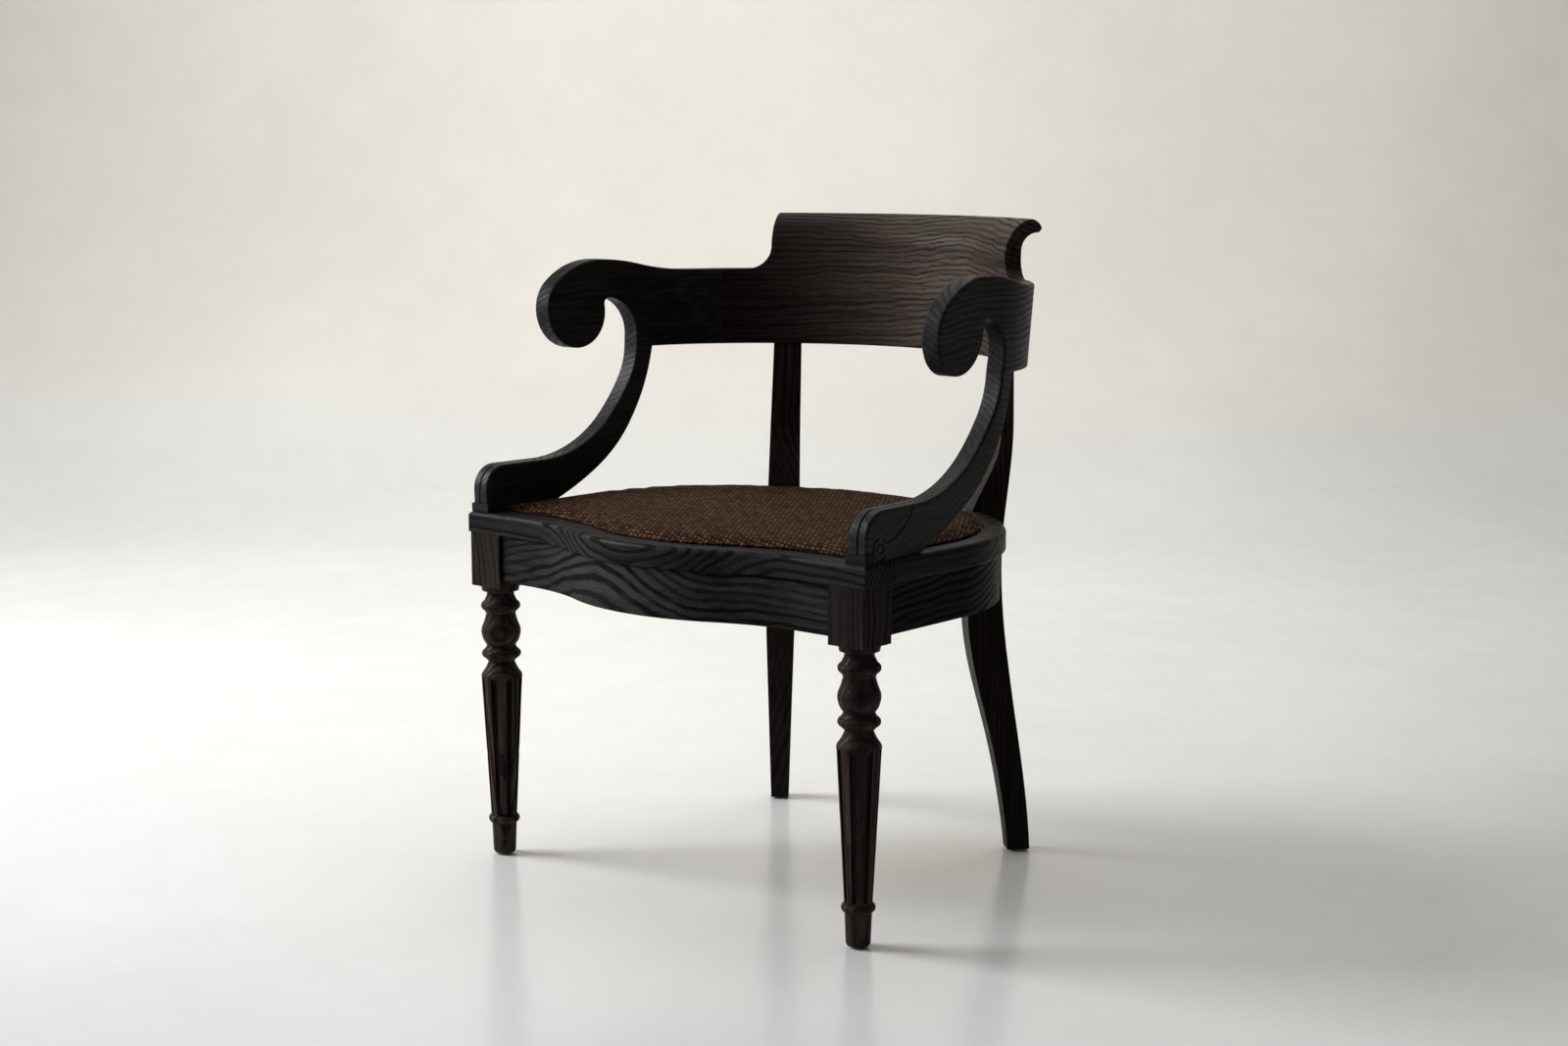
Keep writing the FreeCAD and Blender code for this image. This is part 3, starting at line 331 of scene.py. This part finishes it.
def stained_wood(tree, patch, fibre, warm):
    """Colours the dense wood; a larger warm makes it browner."""
    red, green, blue = PALE_STAIN
    pale = (red * (1 + warm), green, blue * (1 - warm))
    red, green, blue = DARK_STAIN
    dark = (red * (1 + warm * 2), green, blue * (1 - warm))
    colour = mixed(tree, patch.ramp(-0.2, 0.2), dark, pale)
    return mixed(tree, fibre.ramp(0.0, 0.3, 0.0, 0.6), colour, FIBRE_STAIN)


def toned(tree, colour, along, tone, lift):
    """Makes a board lighter or darker; lift is a place, a width and how many times lighter."""
    if lift:
        centre, width, times = lift
        tone = bell(along, centre, width) * (tone * (times - 1)) + tone
    return scaled(tree, colour, tone)


print("the palest stain gives back", round(PALE_STAIN[1] * 100, 1), "percent of the light")

# %% [markdown]
# ## The oak finish
# Here the grain, the stain, the gathered stain with its painted shade and the rubbed
# edges with their painted highlight come together, with a thin satin wax over all. The
# open lines and pores are darker, rougher and a little sunk. Every number that differs
# from one piece to the next is an argument, so one recipe serves each wooden piece, and
# none of them shares its board with another.

# %% The finish over the grain
WAX_ROUGHNESS = 0.4


def oak(name, axes, year=0.0075, heart=(0.0, 0.0), hill=(0.0, 0.2, 0.0), seed=0.0, warm=0.0,
        tone=1.0, lift=None, open_grain=0.5, wave=0.004, swirl=1.0, satin=0.07,
        edge_radius=0.0016, rub_and_highlight=0.55, worn_and_highlight=0.05, hollow=0.006, flutes=None, shape=None):
    """Dark oak; axes names the directions along, across and into the board."""
    finish, tree, shader = new_finish(name, 0.5, specular=satin)
    place = place_on_piece(tree)
    if shape:
        place = shape(tree, place)
    board = [place["xyz".index(axis)] for axis in axes]
    line, fibre, pores, patch = grain_of_board(tree, board, year, heart, hill, seed, wave, swirl)
    line = line * open_grain
    normal, edge = rounded_edges(tree, edge_radius)
    colour = toned(tree, stained_wood(tree, patch, fibre, warm), board[ALONG], tone, lift)
    colour = mixed(tree, line * 0.95, colour, PORE_STAIN)
    colour = mixed(tree, pores * 0.7, colour, PORE_STAIN)
    # Gathered stain and painted shade darken the hollows and the places close to other parts.
    stained_and_shaded = stain_and_shade_in_hollows(tree, hollow)
    colour = mixed(tree, stained_and_shaded * 0.9, colour, HOLLOW_STAIN_AND_SHADE)
    # Lightens the edges: stain rubbed off the arrises, and a painted highlight on them.
    rubbed_and_highlit = edge * (patch + fibre * 0.6).ramp(-0.1, 0.3, rub_and_highlight * 0.2, rub_and_highlight) * (stained_and_shaded * -0.9 + 1.0)
    colour = mixed(tree, rubbed_and_highlit, colour, (worn_and_highlight, worn_and_highlight * 0.87, worn_and_highlight * 0.78))
    # Stain left in the flutes and painted shade darken them.
    if flutes:
        colour = mixed(tree, flutes(tree, place) * 0.85, colour, FLUTE_STAIN_AND_SHADE)
    feed(tree, colour, shader.inputs["Base Color"])
    rough = line * 0.35 + fibre * 0.16 + patch * 0.2 + pores * 0.2 + WAX_ROUGHNESS
    feed(tree, rough, shader.inputs["Roughness"])
    height = line * -0.6 + pores * -0.4 + fibre * 0.2 + patch * 0.3
    bump = bumped(tree, height, shader, 0.8, 0.001)
    tree.links.new(normal, bump.inputs["Normal"])
    return finish


print("roughness of the wax between the pores:", WAX_ROUGHNESS)

# %% [markdown]
# ## Grain that follows a curved board
# The back board is bent, and its grain bends with it. The piece could be unwrapped
# flat for an image, but here the material itself unrolls the board: the angle round
# the curve's centre, times the radius, becomes the distance along the grain, and the
# distance from the centre becomes the depth.

# %% Unroll a curved board
back_curve_y = -0.0656
back_curve_radius = 0.325


def unrolled(tree, place):
    x, y, z = place
    away = y - back_curve_y
    turn = x.math("ARCTAN2", away)
    reach = (x * x + away * away).math("SQRT")
    return [turn * back_curve_radius, reach - back_curve_radius, z]


print("grain of the back runs round a curve of", back_curve_radius, "m radius")

# %% [markdown]
# ## Stain and painted shade in the flutes
# The shafts of the front legs carry eight shallow flutes. Stain that is wiped on is
# wiped off the ridges again, but stays in the flutes, and painted shade darkens them
# too. The Ambient Occlusion node finds narrow grooves, but these flutes are wide and
# open. A point lies in a flute where it is nearer to the leg's axis than the tapered
# shaft is, so the material compares the two distances. This keeps the flutes dark
# from every side.

# %% Find the flutes
leg_place = (0.3, -0.2334)
shaft_foot = (0.054, 0.0168)
shaft_top = (0.238, 0.0264)
shaft_taper = (shaft_top[1] - shaft_foot[1]) / (shaft_top[0] - shaft_foot[0])
fade_below_top = 0.003
flute_starts, flute_full = 0.0004, 0.0013


def inside_flutes(out):
    """Gives the part of a leg's material that is one in a flute and nought on a ridge."""
    def depth_below_ridge(tree, place):
        x, y, z = place
        x = x - out * leg_place[0]
        y = y - leg_place[1]
        ridge = (z - shaft_foot[0]) * shaft_taper + shaft_foot[1]
        depth = ridge - (x * x + y * y).math("SQRT")
        below_top = z.ramp(shaft_top[0] - fade_below_top, shaft_top[0], 1.0, 0.0)
        return depth.ramp(flute_starts, flute_full) * below_top
    return depth_below_ridge


print("the shaft narrows", round(shaft_taper * 1000, 1), "mm in radius for each metre down")

# %% [markdown]
# ## Boards for the front and the back
# Each wooden piece is dressed in its own board. One finish for all would be shorter,
# but then every grain would run the same way and on from piece to piece. In the
# rails the grain runs across the chair, and in the back it runs round the curve. The
# heart of the tree lies beside each piece, given across and into the board. The hill
# gives the middle, the width and the height of the arches on its face.

# %% Dress the front and the back
dressed = []


def dress(node_name, finish):
    for slot in nodes[node_name].material_slots:
        slot.link = "OBJECT"
        slot.material = finish
    dressed.append(node_name)


dress("front_rail", oak(
    "front_rail_oak", "xzy", year=0.0084, heart=(0.2, -0.1), hill=(-0.03, 0.115, 0.115), seed=3.7,
    tone=1.2, lift=(0.1, 0.25, 1.4), open_grain=1.0))
dress("seat_frame_front", oak(
    "frame_front_oak", "xzy", year=0.006, heart=(0.25, 0.0), hill=(0.12, 0.25, 0.01), seed=8.1,
    tone=0.75, lift=(0.2, 0.25, 1.3), open_grain=0.95, swirl=0.35))
dress("back_board", oak(
    "back_oak", "xzy", year=0.0072, heart=(0.55, -0.06), hill=(0.1, 0.1, 0.018), seed=1.9,
    warm=0.22, tone=0.95, lift=(0.06, 0.17, 3.4), open_grain=0.6, wave=0.009, shape=unrolled))
dress("back_rail", oak(
    "back_rail_oak", "xzy", year=0.008, heart=(0.3, 0.1), hill=(0.02, 0.2, 0.03), seed=5.2))
dress("seat_frame_back", oak(
    "frame_back_oak", "xyz", year=0.007, heart=(0.1, 0.4), seed=6.6, swirl=0.5))
print("pieces in oak so far:", len(dressed))

# %% [markdown]
# ## Boards for the left and the right
# The two sides of the chair mirror in shape but not in grain, because no two boards
# are alike. So one loop dresses both sides: the heart of the tree mirrors with the
# side, and the seed moves on, which gives each piece other noise. The grain runs up
# the legs and back along the arms. The arm supports have fine carving, so their
# edges and hollows are looked for at a much smaller distance.

# %% Dress the two sides
leg_spread = leg_place[0]


def boards_of_side(side, out, seed):
    """Makes the boards for all wooden pieces that stand on one side of the chair."""
    leg = out * leg_spread
    return {
        "arm": oak(
            "arm_oak_" + side, "yzx", year=0.0072, heart=(0.55, leg * 0.8), hill=(-0.05, 0.1, 0.012),
            seed=seed, tone=1.15, open_grain=0.4, swirl=0.7, worn_and_highlight=0.09),
        "arm_support": oak(
            "support_oak_" + side, "yzx", year=0.0068, heart=(0.36, leg * 0.8), hill=(0, 0.16, 0.12),
            seed=seed + 1, tone=1.0, open_grain=0.3, swirl=0.6, satin=0.14,
            edge_radius=0.0004, rub_and_highlight=1.0, worn_and_highlight=0.12, hollow=0.0011),
        "arm_plinth": oak("plinth_oak_" + side, "xyz", year=0.005, heart=(-0.2, 0.42), seed=seed + 2),
        "side_rail": oak(
            "side_rail_oak_" + side, "yzx", year=0.0062, heart=(0.3, leg * 0.7), hill=(0, 0.2, 0.02),
            seed=seed + 3, tone=0.75, open_grain=0.8, swirl=0.7, satin=0.04),
        "seat_frame_side": oak(
            "frame_oak_" + side, "yxz", year=0.006, heart=(leg * 0.8, 0.4), seed=seed + 4, swirl=0.4),
        "front_leg": oak(
            "front_leg_oak_" + side, "zxy", year=0.0062, heart=(leg - 0.06, -0.18),
            hill=(0.3, 0.1, 0.006), seed=seed + 5, warm=0.22, tone=0.8, lift=(0.12, 0.17, 3.1),
            open_grain=0.8, edge_radius=0.0012, rub_and_highlight=1.0, hollow=0.0035, flutes=inside_flutes(out)),
        "rear_leg": oak(
            "rear_leg_oak_" + side, "zxy", year=0.0062, heart=(out * 0.18, 0.07), seed=seed + 6,
            warm=0.28, tone=0.5, lift=(0.68, 0.14, 4.2), open_grain=0.6, wave=0.002, swirl=0.7),
    }


for side, out, seed in (("left", -1, 17.3), ("right", 1, 24.6)):
    for piece, board in boards_of_side(side, out, seed).items():
        dress(piece + "_" + side, board)
print("pieces in oak:", len(dressed))

# %% [markdown]
# ## Hidden wood
# The glue blocks and dowels are plain beech and the seat board is plywood, and neither
# was ever stained. A flat pale colour would do for pieces that hardly show, but the
# grain is already there to use, so the same rings give them pale lines with a finer
# or a coarser year.

# %% Plain timber
def plain_timber(name, axes, light, dark, year, heart, seed):
    finish, tree, shader = new_finish(name, 0.62, specular=0.3)
    place = place_on_piece(tree)
    board = [place["xyz".index(axis)] for axis in axes]
    line, fibre, pores, patch = grain_of_board(tree, board, year, heart, (0, 0.2, 0.02), seed)
    colour = mixed(tree, patch.ramp(-0.3, 0.3), light, tuple(value * 0.88 for value in light))
    colour = mixed(tree, line * 0.5, colour, dark)
    colour = mixed(tree, pores * 0.35, colour, tuple(value * 0.6 for value in dark))
    feed(tree, colour, shader.inputs["Base Color"])
    bumped(tree, fibre * 0.5 - pores * 0.4, shader, 0.3, 0.0004)
    return finish


beech = plain_timber("beech", "xzy", light=(0.56, 0.37, 0.21), dark=(0.4, 0.24, 0.12),
                     year=0.004, heart=(0.3, 0.0), seed=2.0)
plywood = plain_timber("plywood", "xyz", light=(0.6, 0.42, 0.25), dark=(0.42, 0.27, 0.14),
                       year=0.012, heart=(0.0, 0.35), seed=4.0)
beech_pieces = ["arm_joint_dowels", "arm_support_dowels", "seat_frame_dowels"]
for side in ("left", "right"):
    beech_pieces += ["corner_block_" + side, "splice_block_" + side]
for piece in beech_pieces:
    dress(piece, beech)
dress("seat_board", plywood)
print("pieces in beech:", len(beech_pieces), "and in plywood: the seat board")

# %% [markdown]
# ## Nylon and zinc
# Four small glides keep the feet off the floor. They are moulded nylon, pale and a
# little cloudy. The screws are zinc-plated steel, whose plating is finely mottled. Two
# recipes could serve them, but one does: a cloud of noise moves the colour, the
# roughness and the bump, and the screws only have finer noise and are metallic.

# %% Moulded and plated finishes
def cast_finish(name, light, dark, scale, roughness, metallic=0.0):
    finish, tree, shader = new_finish(name, roughness, specular=0.4)
    shader.inputs["Metallic"].default_value = metallic
    x, y, z = place_on_piece(tree)
    cloud = noise(tree, joined(tree, x, y, z), scale, detail=4.0)
    feed(tree, mixed(tree, cloud.ramp(-0.25, 0.25), light, dark), shader.inputs["Base Color"])
    feed(tree, cloud * 0.3 + roughness, shader.inputs["Roughness"])
    bumped(tree, cloud, shader, 0.25, 0.0002)
    return finish


nylon = cast_finish("glide_nylon", light=(0.55, 0.51, 0.45), dark=(0.4, 0.36, 0.31),
                    scale=160.0, roughness=0.55)
zinc = cast_finish("screw_zinc", light=(0.6, 0.6, 0.58), dark=(0.4, 0.4, 0.4),
                   scale=900.0, roughness=0.38, metallic=1.0)
glides = [end + "_glide_" + side for end in ("front", "rear") for side in ("left", "right")]
for piece in glides:
    dress(piece, nylon)
screws = ["corner_block_screws", "seat_frame_screws", "rear_leg_screws"]
for piece in screws:
    dress(piece, zinc)
print("glides in nylon:", len(glides), "and groups of screws in zinc:", len(screws))
print("pieces without a finish yet:", sorted(set(nodes) - set(dressed)))

# %% [markdown]
# ## The woven seat
# The seat is covered with coarse brown yarn, woven tight over a thin pad and turned
# down into the frame, so it is taut, slightly crowned and full at its rim. It could
# be modelled by hand, but fabric that is stretched over a filling finds this shape by
# itself, so Blender's cloth will do it. It starts from a copy of the CAD pad, whose
# loose triangles are first merged into one closed skin.

# %% Copy the pad
pad_low, pad_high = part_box("seat_pad")
frame_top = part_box("seat_frame_front")[1][2]
seat_mesh = nodes["seat_pad"].data.copy()
seat = bpy.data.objects.new("woven_seat", seat_mesh)
bpy.context.scene.collection.objects.link(seat)
seat.data.materials.clear()
merge = bmesh.new()
merge.from_mesh(seat_mesh)
bmesh.ops.remove_doubles(merge, verts=merge.verts, dist=0.00001)
bmesh.ops.recalc_face_normals(merge, faces=merge.faces)
merge.to_mesh(seat_mesh)
merge.free()
print("pad from", round(pad_low[2], 4), "to", round(pad_high[2], 4), "frame top", round(frame_top, 4))

# %% [markdown]
# ## Even faces for the seat
# Cloth needs faces of one size to bend well, and the pad has long thin ones. Cutting
# them with subdivide_edges would keep them thin, so the Remesh modifier rebuilds the
# skin from small voxels, and Smooth takes the steps off its rim. Both shrink the pad
# a little, so it is stretched in plan to the size that it had.

# %% Even faces for the seat
face_size = 0.006


def applied(piece):
    """Makes the mesh that a piece's modifiers give its own mesh."""
    bpy.context.view_layer.update()
    graph = bpy.context.evaluated_depsgraph_get()
    shaped = bpy.data.meshes.new_from_object(piece.evaluated_get(graph))
    piece.modifiers.clear()
    piece.data = shaped


remesh = seat.modifiers.new("even_faces", "REMESH")
remesh.mode = "VOXEL"
remesh.voxel_size = face_size
smooth = seat.modifiers.new("soft_rim", "SMOOTH")
smooth.factor = 0.5
smooth.iterations = 3
applied(seat)
for axis in (0, 1):
    reach = [vert.co[axis] for vert in seat.data.vertices]
    middle = (pad_low[axis] + pad_high[axis]) / 2
    grow = (pad_high[axis] - pad_low[axis]) / (max(reach) - min(reach))
    for vert in seat.data.vertices:
        vert.co[axis] = middle + (vert.co[axis] - (max(reach) + min(reach)) / 2) * grow
print("even faces:", len(seat.data.polygons))

# %% [markdown]
# ## Hold the seat in its frame
# On the real chair the fabric is turned down between the seat board and the frame, and
# only what stands above the frame can move. Holding it up to a hard line would leave a
# crease there, so the hold fades out over a few millimetres round the top of the frame.
# The pad is also lowered a little first, which gives the air room to swell it back.

# %% Pin the rim and lower the pad
lowered_to = 0.8
hold_starts_below = 0.002
hold_fades_over = 0.004
started = []
for vert in seat.data.vertices:
    if vert.co.z > frame_top:
        vert.co.z = frame_top + (vert.co.z - frame_top) * lowered_to
    started.append(vert.co.copy())
pinned = seat.vertex_groups.new(name="held_in_the_frame")
for vert in seat.data.vertices:
    free = min(1.0, max(0.0, (vert.co.z - frame_top + hold_starts_below) / hold_fades_over))
    pinned.add([vert.index], 1.0 - free, "REPLACE")
print("points above the frame:", sum(start.z > frame_top for start in started), "of", len(started))

# %% [markdown]
# ## Swell the seat
# Blender's cloth pushes the fabric out with air pressure, without gravity. The points
# could be lifted by a formula instead, but the cloth finds for each one the way in
# which a filling would push it: straight up in the middle, and outwards near the rim.
# It rises too far even in a few steps, which the next cell puts right.

# %% Swell the seat
swelling_steps = 20
air_pressure = 4.0
stretch = seat.modifiers.new("stretched_yarn", "CLOTH")
stretch.settings.quality = 5
stretch.settings.use_pressure = True
stretch.settings.uniform_pressure_force = air_pressure
stretch.settings.effector_weights.gravity = 0.0
stretch.settings.vertex_group_mass = "held_in_the_frame"
stretch.collision_settings.use_collision = False
stretch.point_cache.frame_end = swelling_steps
last_step = swelling_steps
for step in range(1, last_step + 1):
    bpy.context.scene.frame_set(step)
applied(seat)
bpy.context.scene.frame_set(1)
swelled = max(vert.co.z for vert in seat.data.vertices)
print("steps of air:", last_step, "and height over the frame:", round((swelled - frame_top) * 1000, 1), "mm")

# %% [markdown]
# ## Keep the seat to its shape
# The thin filling of the real seat lets the fabric rise by a few millimetres at most.
# More stiffness would hold the cloth back too, but a cap is surer: a point that has
# moved further than the cap is brought back towards where it started. Then one
# subdivision rounds off what is left of the voxels.

# %% Cap the swelling and smooth the faces
cap = 0.004
for vert, start in zip(seat.data.vertices, started):
    moved = vert.co - start
    if moved.length > cap:
        vert.co = start + moved * (cap / moved.length)
seat.vertex_groups.clear()
finer = seat.modifiers.new("finer_faces", "SUBSURF")
finer.levels = 1
finer.render_levels = 1
applied(seat)
for face in seat.data.polygons:
    face.use_smooth = True
crown = max(vert.co.z for vert in seat.data.vertices) - frame_top
print("crown over the frame:", round(crown * 1000, 1), "mm")

# %% [markdown]
# ## The yarn
# Up close the cloth is rows of thick twisted yarn, and each twist shows as a short
# slanted stroke with a round back and a dark gap beside it. Yarn that is modelled
# strand by strand would need millions of faces, so the pattern is a brick wall of
# slanted strokes in the material: a row number, a stroke number along the row, and a
# rounded height inside each stroke. Every stroke draws its own shade of brown. The
# pattern reads the plan of the seat, and the height is taken off the rows' direction
# so that they run on down the rim.

# %% Lay out the strokes of yarn
row_width = 0.0052
stroke_length = 0.0075
slant = 0.9
step_of_row = 0.46


def strokes_of_yarn(tree, place):
    """Gives a shade for each stroke, its rounded height, and the twist of its fibres."""
    x, y, z = place
    drift = noise(tree, joined(tree, x, y, z), 11.0, detail=2.0) * 0.006
    ripple = noise(tree, joined(tree, x, y, z), 70.0, detail=2.0) * 0.0016
    rows = (y - z + drift + ripple) / row_width
    row = rows.math("FLOOR")
    across = rows.math("FRACT") - 0.5
    strokes = (x + ripple) / stroke_length + across * slant + row * step_of_row
    along = strokes.math("FRACT") - 0.5
    rounded_back = across * across * -3.6 + 1.0
    tapered = along * along * -3.4 + 1.0
    height = (rounded_back * tapered).math("MAXIMUM", 0.0).math("SQRT")
    shade = tree.nodes.new("ShaderNodeTexWhiteNoise")
    feed(tree, joined(tree, strokes.math("FLOOR"), row, 0.0), shade.inputs["Vector"])
    twist = ((along * 3.0 + across * 2.0) * (2 * math.pi)).math("SINE")
    return Flow(tree, shade.outputs["Value"]), height, twist


print("rows of yarn in the seat:", round((pad_high[1] - pad_low[1]) / row_width))
print("strokes in a row:", round((pad_high[0] - pad_low[0]) / stroke_length))

# %% [markdown]
# ## Dye the yarn and paint its light and shade
# The yarn is a warm brown, with a painted highlight on the round backs of the strokes
# and painted shade, almost black, in the gaps. A fabric shader could add sheen, but this
# yarn is dull, so it stays rough with hardly any gloss, and very fine noise gives it
# fuzz. The finished seat then replaces the plain pad.

# %% Dye the yarn, paint its light and shade, and put the seat in
YARN_DARK = (0.025, 0.0105, 0.0042)
YARN_BROWN = (0.048, 0.0215, 0.0088)
YARN_LIT = (0.13, 0.064, 0.03)
YARN_GAP_SHADE = (0.002, 0.0009, 0.0006)


def woven_cloth(name):
    finish, tree, shader = new_finish(name, 0.85, specular=0.05)
    place = place_on_piece(tree)
    shade, height, twist = strokes_of_yarn(tree, place)
    fuzz = noise(tree, joined(tree, *place), 1500.0, detail=2.0)
    cloud = noise(tree, joined(tree, *place), 7.0, detail=2.0)
    brown = mixed(tree, shade * 0.7 + cloud * 0.7, YARN_DARK, YARN_BROWN)
    # Painted highlight on the round backs of the strokes.
    lit = (shade * 0.6 + height + fuzz * 0.5 + twist * 0.1).ramp(0.9, 1.5, 0.0, 0.8)
    brown = mixed(tree, lit, brown, YARN_LIT)
    # Painted shade in the gaps between the strokes.
    brown = mixed(tree, height.ramp(0.35, 0.85, 0.97, 0.0), brown, YARN_GAP_SHADE)
    feed(tree, brown, shader.inputs["Base Color"])
    bumped(tree, height + twist * 0.06 + fuzz * 0.15, shader, 0.9, 0.0012)
    return finish


seat.data.materials.append(woven_cloth("woven_yarn"))
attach(seat, "root")
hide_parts("seat_pad")
print("faces of the woven seat:", len(seat.data.polygons))

# %% [markdown]
# ## Floor and wall
# The chair stands on a pale, slightly polished floor that sweeps up into a warm pale
# wall. A floor and a wall could be two sheets, but their corner would show behind the
# chair. So it is one sheet: a flat grid whose far edge is spun up through almost a
# quarter turn and then drawn straight up. The floor runs on well behind the camera, and
# the whole sheet is turned so that its wall faces the camera.

# %% Shape the sweep
sheet_half_width = 9.0
floor_front = -12.0
curve_start = 2.6
curve_radius = 1.4
curve_turn = math.radians(88)
wall_rise = 4.0
curve_steps = 24
turn_to_camera = math.radians(40.31)
sweep = bmesh.new()
bmesh.ops.create_grid(sweep, x_segments=1, y_segments=1, size=sheet_half_width)
far_edge = [edge for edge in sweep.edges if all(vert.co.y > 0 for vert in edge.verts)]
for vert in sweep.verts:
    vert.co.y = curve_start if vert.co.y > 0 else floor_front
bend = bmesh.ops.spin(sweep, geom=far_edge, cent=(0, curve_start, curve_radius), axis=(1, 0, 0),
                      angle=curve_turn, steps=curve_steps)
top_edge = [item for item in bend["geom_last"] if isinstance(item, bmesh.types.BMEdge)]
rise = bmesh.ops.extrude_edge_only(sweep, edges=top_edge)
for item in rise["geom"]:
    if isinstance(item, bmesh.types.BMVert):
        item.co.z += wall_rise
bmesh.ops.rotate(sweep, verts=sweep.verts, cent=(0, 0, 0),
                 matrix=Matrix.Rotation(turn_to_camera, 3, "Z"))
bmesh.ops.recalc_face_normals(sweep, faces=sweep.faces)
sweep_mesh = bpy.data.meshes.new("studio_sweep")
sweep.to_mesh(sweep_mesh)
sweep.free()
for face in sweep_mesh.polygons:
    face.use_smooth = True
print("faces of the sweep:", len(sweep_mesh.polygons))

# %% [markdown]
# ## Plaster on the floor and the wall
# Both are pale and almost plain. Two materials would meet in a line, so one material
# changes with the height: the cooler, smoother floor turns into the warmer, matt wall
# where the sweep rises. A faint cloud keeps the large surface from looking empty.

# %% Finish the floor and the wall
wall_colour_height = 0.5
FLOOR_DARK, FLOOR_PALE = (0.74, 0.74, 0.72), (0.8, 0.8, 0.78)
WALL_DARK, WALL_PALE = (0.8, 0.765, 0.7), (0.86, 0.835, 0.775)


def studio_finish(name):
    finish, tree, shader = new_finish(name, 0.42, specular=0.4)
    x, y, z = place_on_piece(tree)
    cloud = noise(tree, joined(tree, x, y, z), 1.3, detail=3.0)
    mottle = noise(tree, joined(tree, x, y, z), 9.0, detail=4.0)
    tone = (cloud + mottle * 0.35).ramp(-0.3, 0.3)
    floor = mixed(tree, tone, FLOOR_DARK, FLOOR_PALE)
    wall = mixed(tree, tone, WALL_DARK, WALL_PALE)
    feed(tree, mixed(tree, z.ramp(0.0, wall_colour_height), floor, wall), shader.inputs["Base Color"])
    feed(tree, z.ramp(0.0, 0.3, 0.2, 0.9) + mottle * 0.1, shader.inputs["Roughness"])
    bumped(tree, mottle, shader, 0.08, 0.002)
    return finish


studio = bpy.data.objects.new("studio_sweep", sweep_mesh)
bpy.context.scene.collection.objects.link(studio)
sweep_mesh.materials.append(studio_finish("studio_plaster"))
print("the wall has its own colour from", wall_colour_height, "m above the floor")

# %% [markdown]
# ## Camera
# The camera stands in front of the chair, about 40 degrees round to its right, and
# looks a little down at it from just above the height of its crest. Its place could be
# found by trying, but it was worked out from the chair itself, by matching corners of
# the solids to where they appear when the chair is looked at from there.

# %% Camera
camera_data = bpy.data.cameras.new("photo_camera")
camera_data.sensor_width = 36.0
camera_data.lens = 57.05
look_down = math.radians(8.82)
camera = bpy.data.objects.new("photo_camera", camera_data)
camera.location = (2.0495, -2.4301, 0.9387)
camera.rotation_euler = (math.radians(90) - look_down, 0.0, turn_to_camera)
bpy.context.scene.collection.objects.link(camera)
bpy.context.scene.camera = camera
print("camera stands", round(camera.location.length, 2), "m from the chair")

# %% [markdown]
# ## Lamps
# One large soft lamp at the left gives the satin edges, a weak one above opens the
# shadows, and a third washes the wall behind the chair. Small lamps would light the
# chair too, but they would draw sharp shadows on the pale floor. So all three are
# large rectangles.

# %% Lamps
def soft_lamp(name, place, target, size, power, colour):
    data = bpy.data.lights.new(name, "AREA")
    data.shape = "RECTANGLE"
    data.size, data.size_y = size
    data.energy = power
    data.color = colour
    lamp = bpy.data.objects.new(name, data)
    lamp.location = place
    aim = Vector(target) - Vector(place)
    lamp.rotation_euler = aim.to_track_quat("-Z", "Y").to_euler()
    bpy.context.scene.collection.objects.link(lamp)


soft_lamp("window_light", place=(-2.6, -1.6, 2.1), target=(0, 0, 0.5), size=(1.6, 1.8),
          power=135.0, colour=(0.95, 0.975, 1.0))
soft_lamp("ceiling_light", place=(-0.4, 0.9, 3.2), target=(0, 0.2, 0.3), size=(2.4, 2.4),
          power=36.0, colour=(1.0, 0.98, 0.95))
soft_lamp("wall_light", place=(-0.8, 0.95, 3.0), target=(-2.25, 2.65, 2.1), size=(2.0, 1.0),
          power=45.0, colour=(1.0, 0.97, 0.91))
print("power of all lamps:", sum(light.energy for light in bpy.data.lights), "W")

# %% [markdown]
# ## Light of the room
# The world fills in the shadows. An even world would light both sides of the chair
# alike, so its strength falls from left to right, as in a room with its windows on
# one side. The direction that is looked in drives it, through one ramp.

# %% Light of the room
left_strength = 0.42
right_strength = 0.06
world = bpy.data.worlds.new("soft_room")
world.use_nodes = True
bpy.context.scene.world = world
sky = world.node_tree.nodes["Background"]
sky.inputs["Color"].default_value = (0.95, 0.96, 1.0, 1.0)
direction = world.node_tree.nodes.new("ShaderNodeTexCoord")
parts = world.node_tree.nodes.new("ShaderNodeSeparateXYZ")
world.node_tree.links.new(direction.outputs["Generated"], parts.inputs[0])
to_the_right = Flow(world.node_tree, parts.outputs["X"])
strength = to_the_right.ramp(-0.5, 0.6, left_strength, right_strength)
feed(world.node_tree, strength, sky.inputs["Strength"])
bpy.context.scene.view_settings.view_transform = "Standard"
print("the left of the room is", round(left_strength / right_strength), "times as bright as the right")
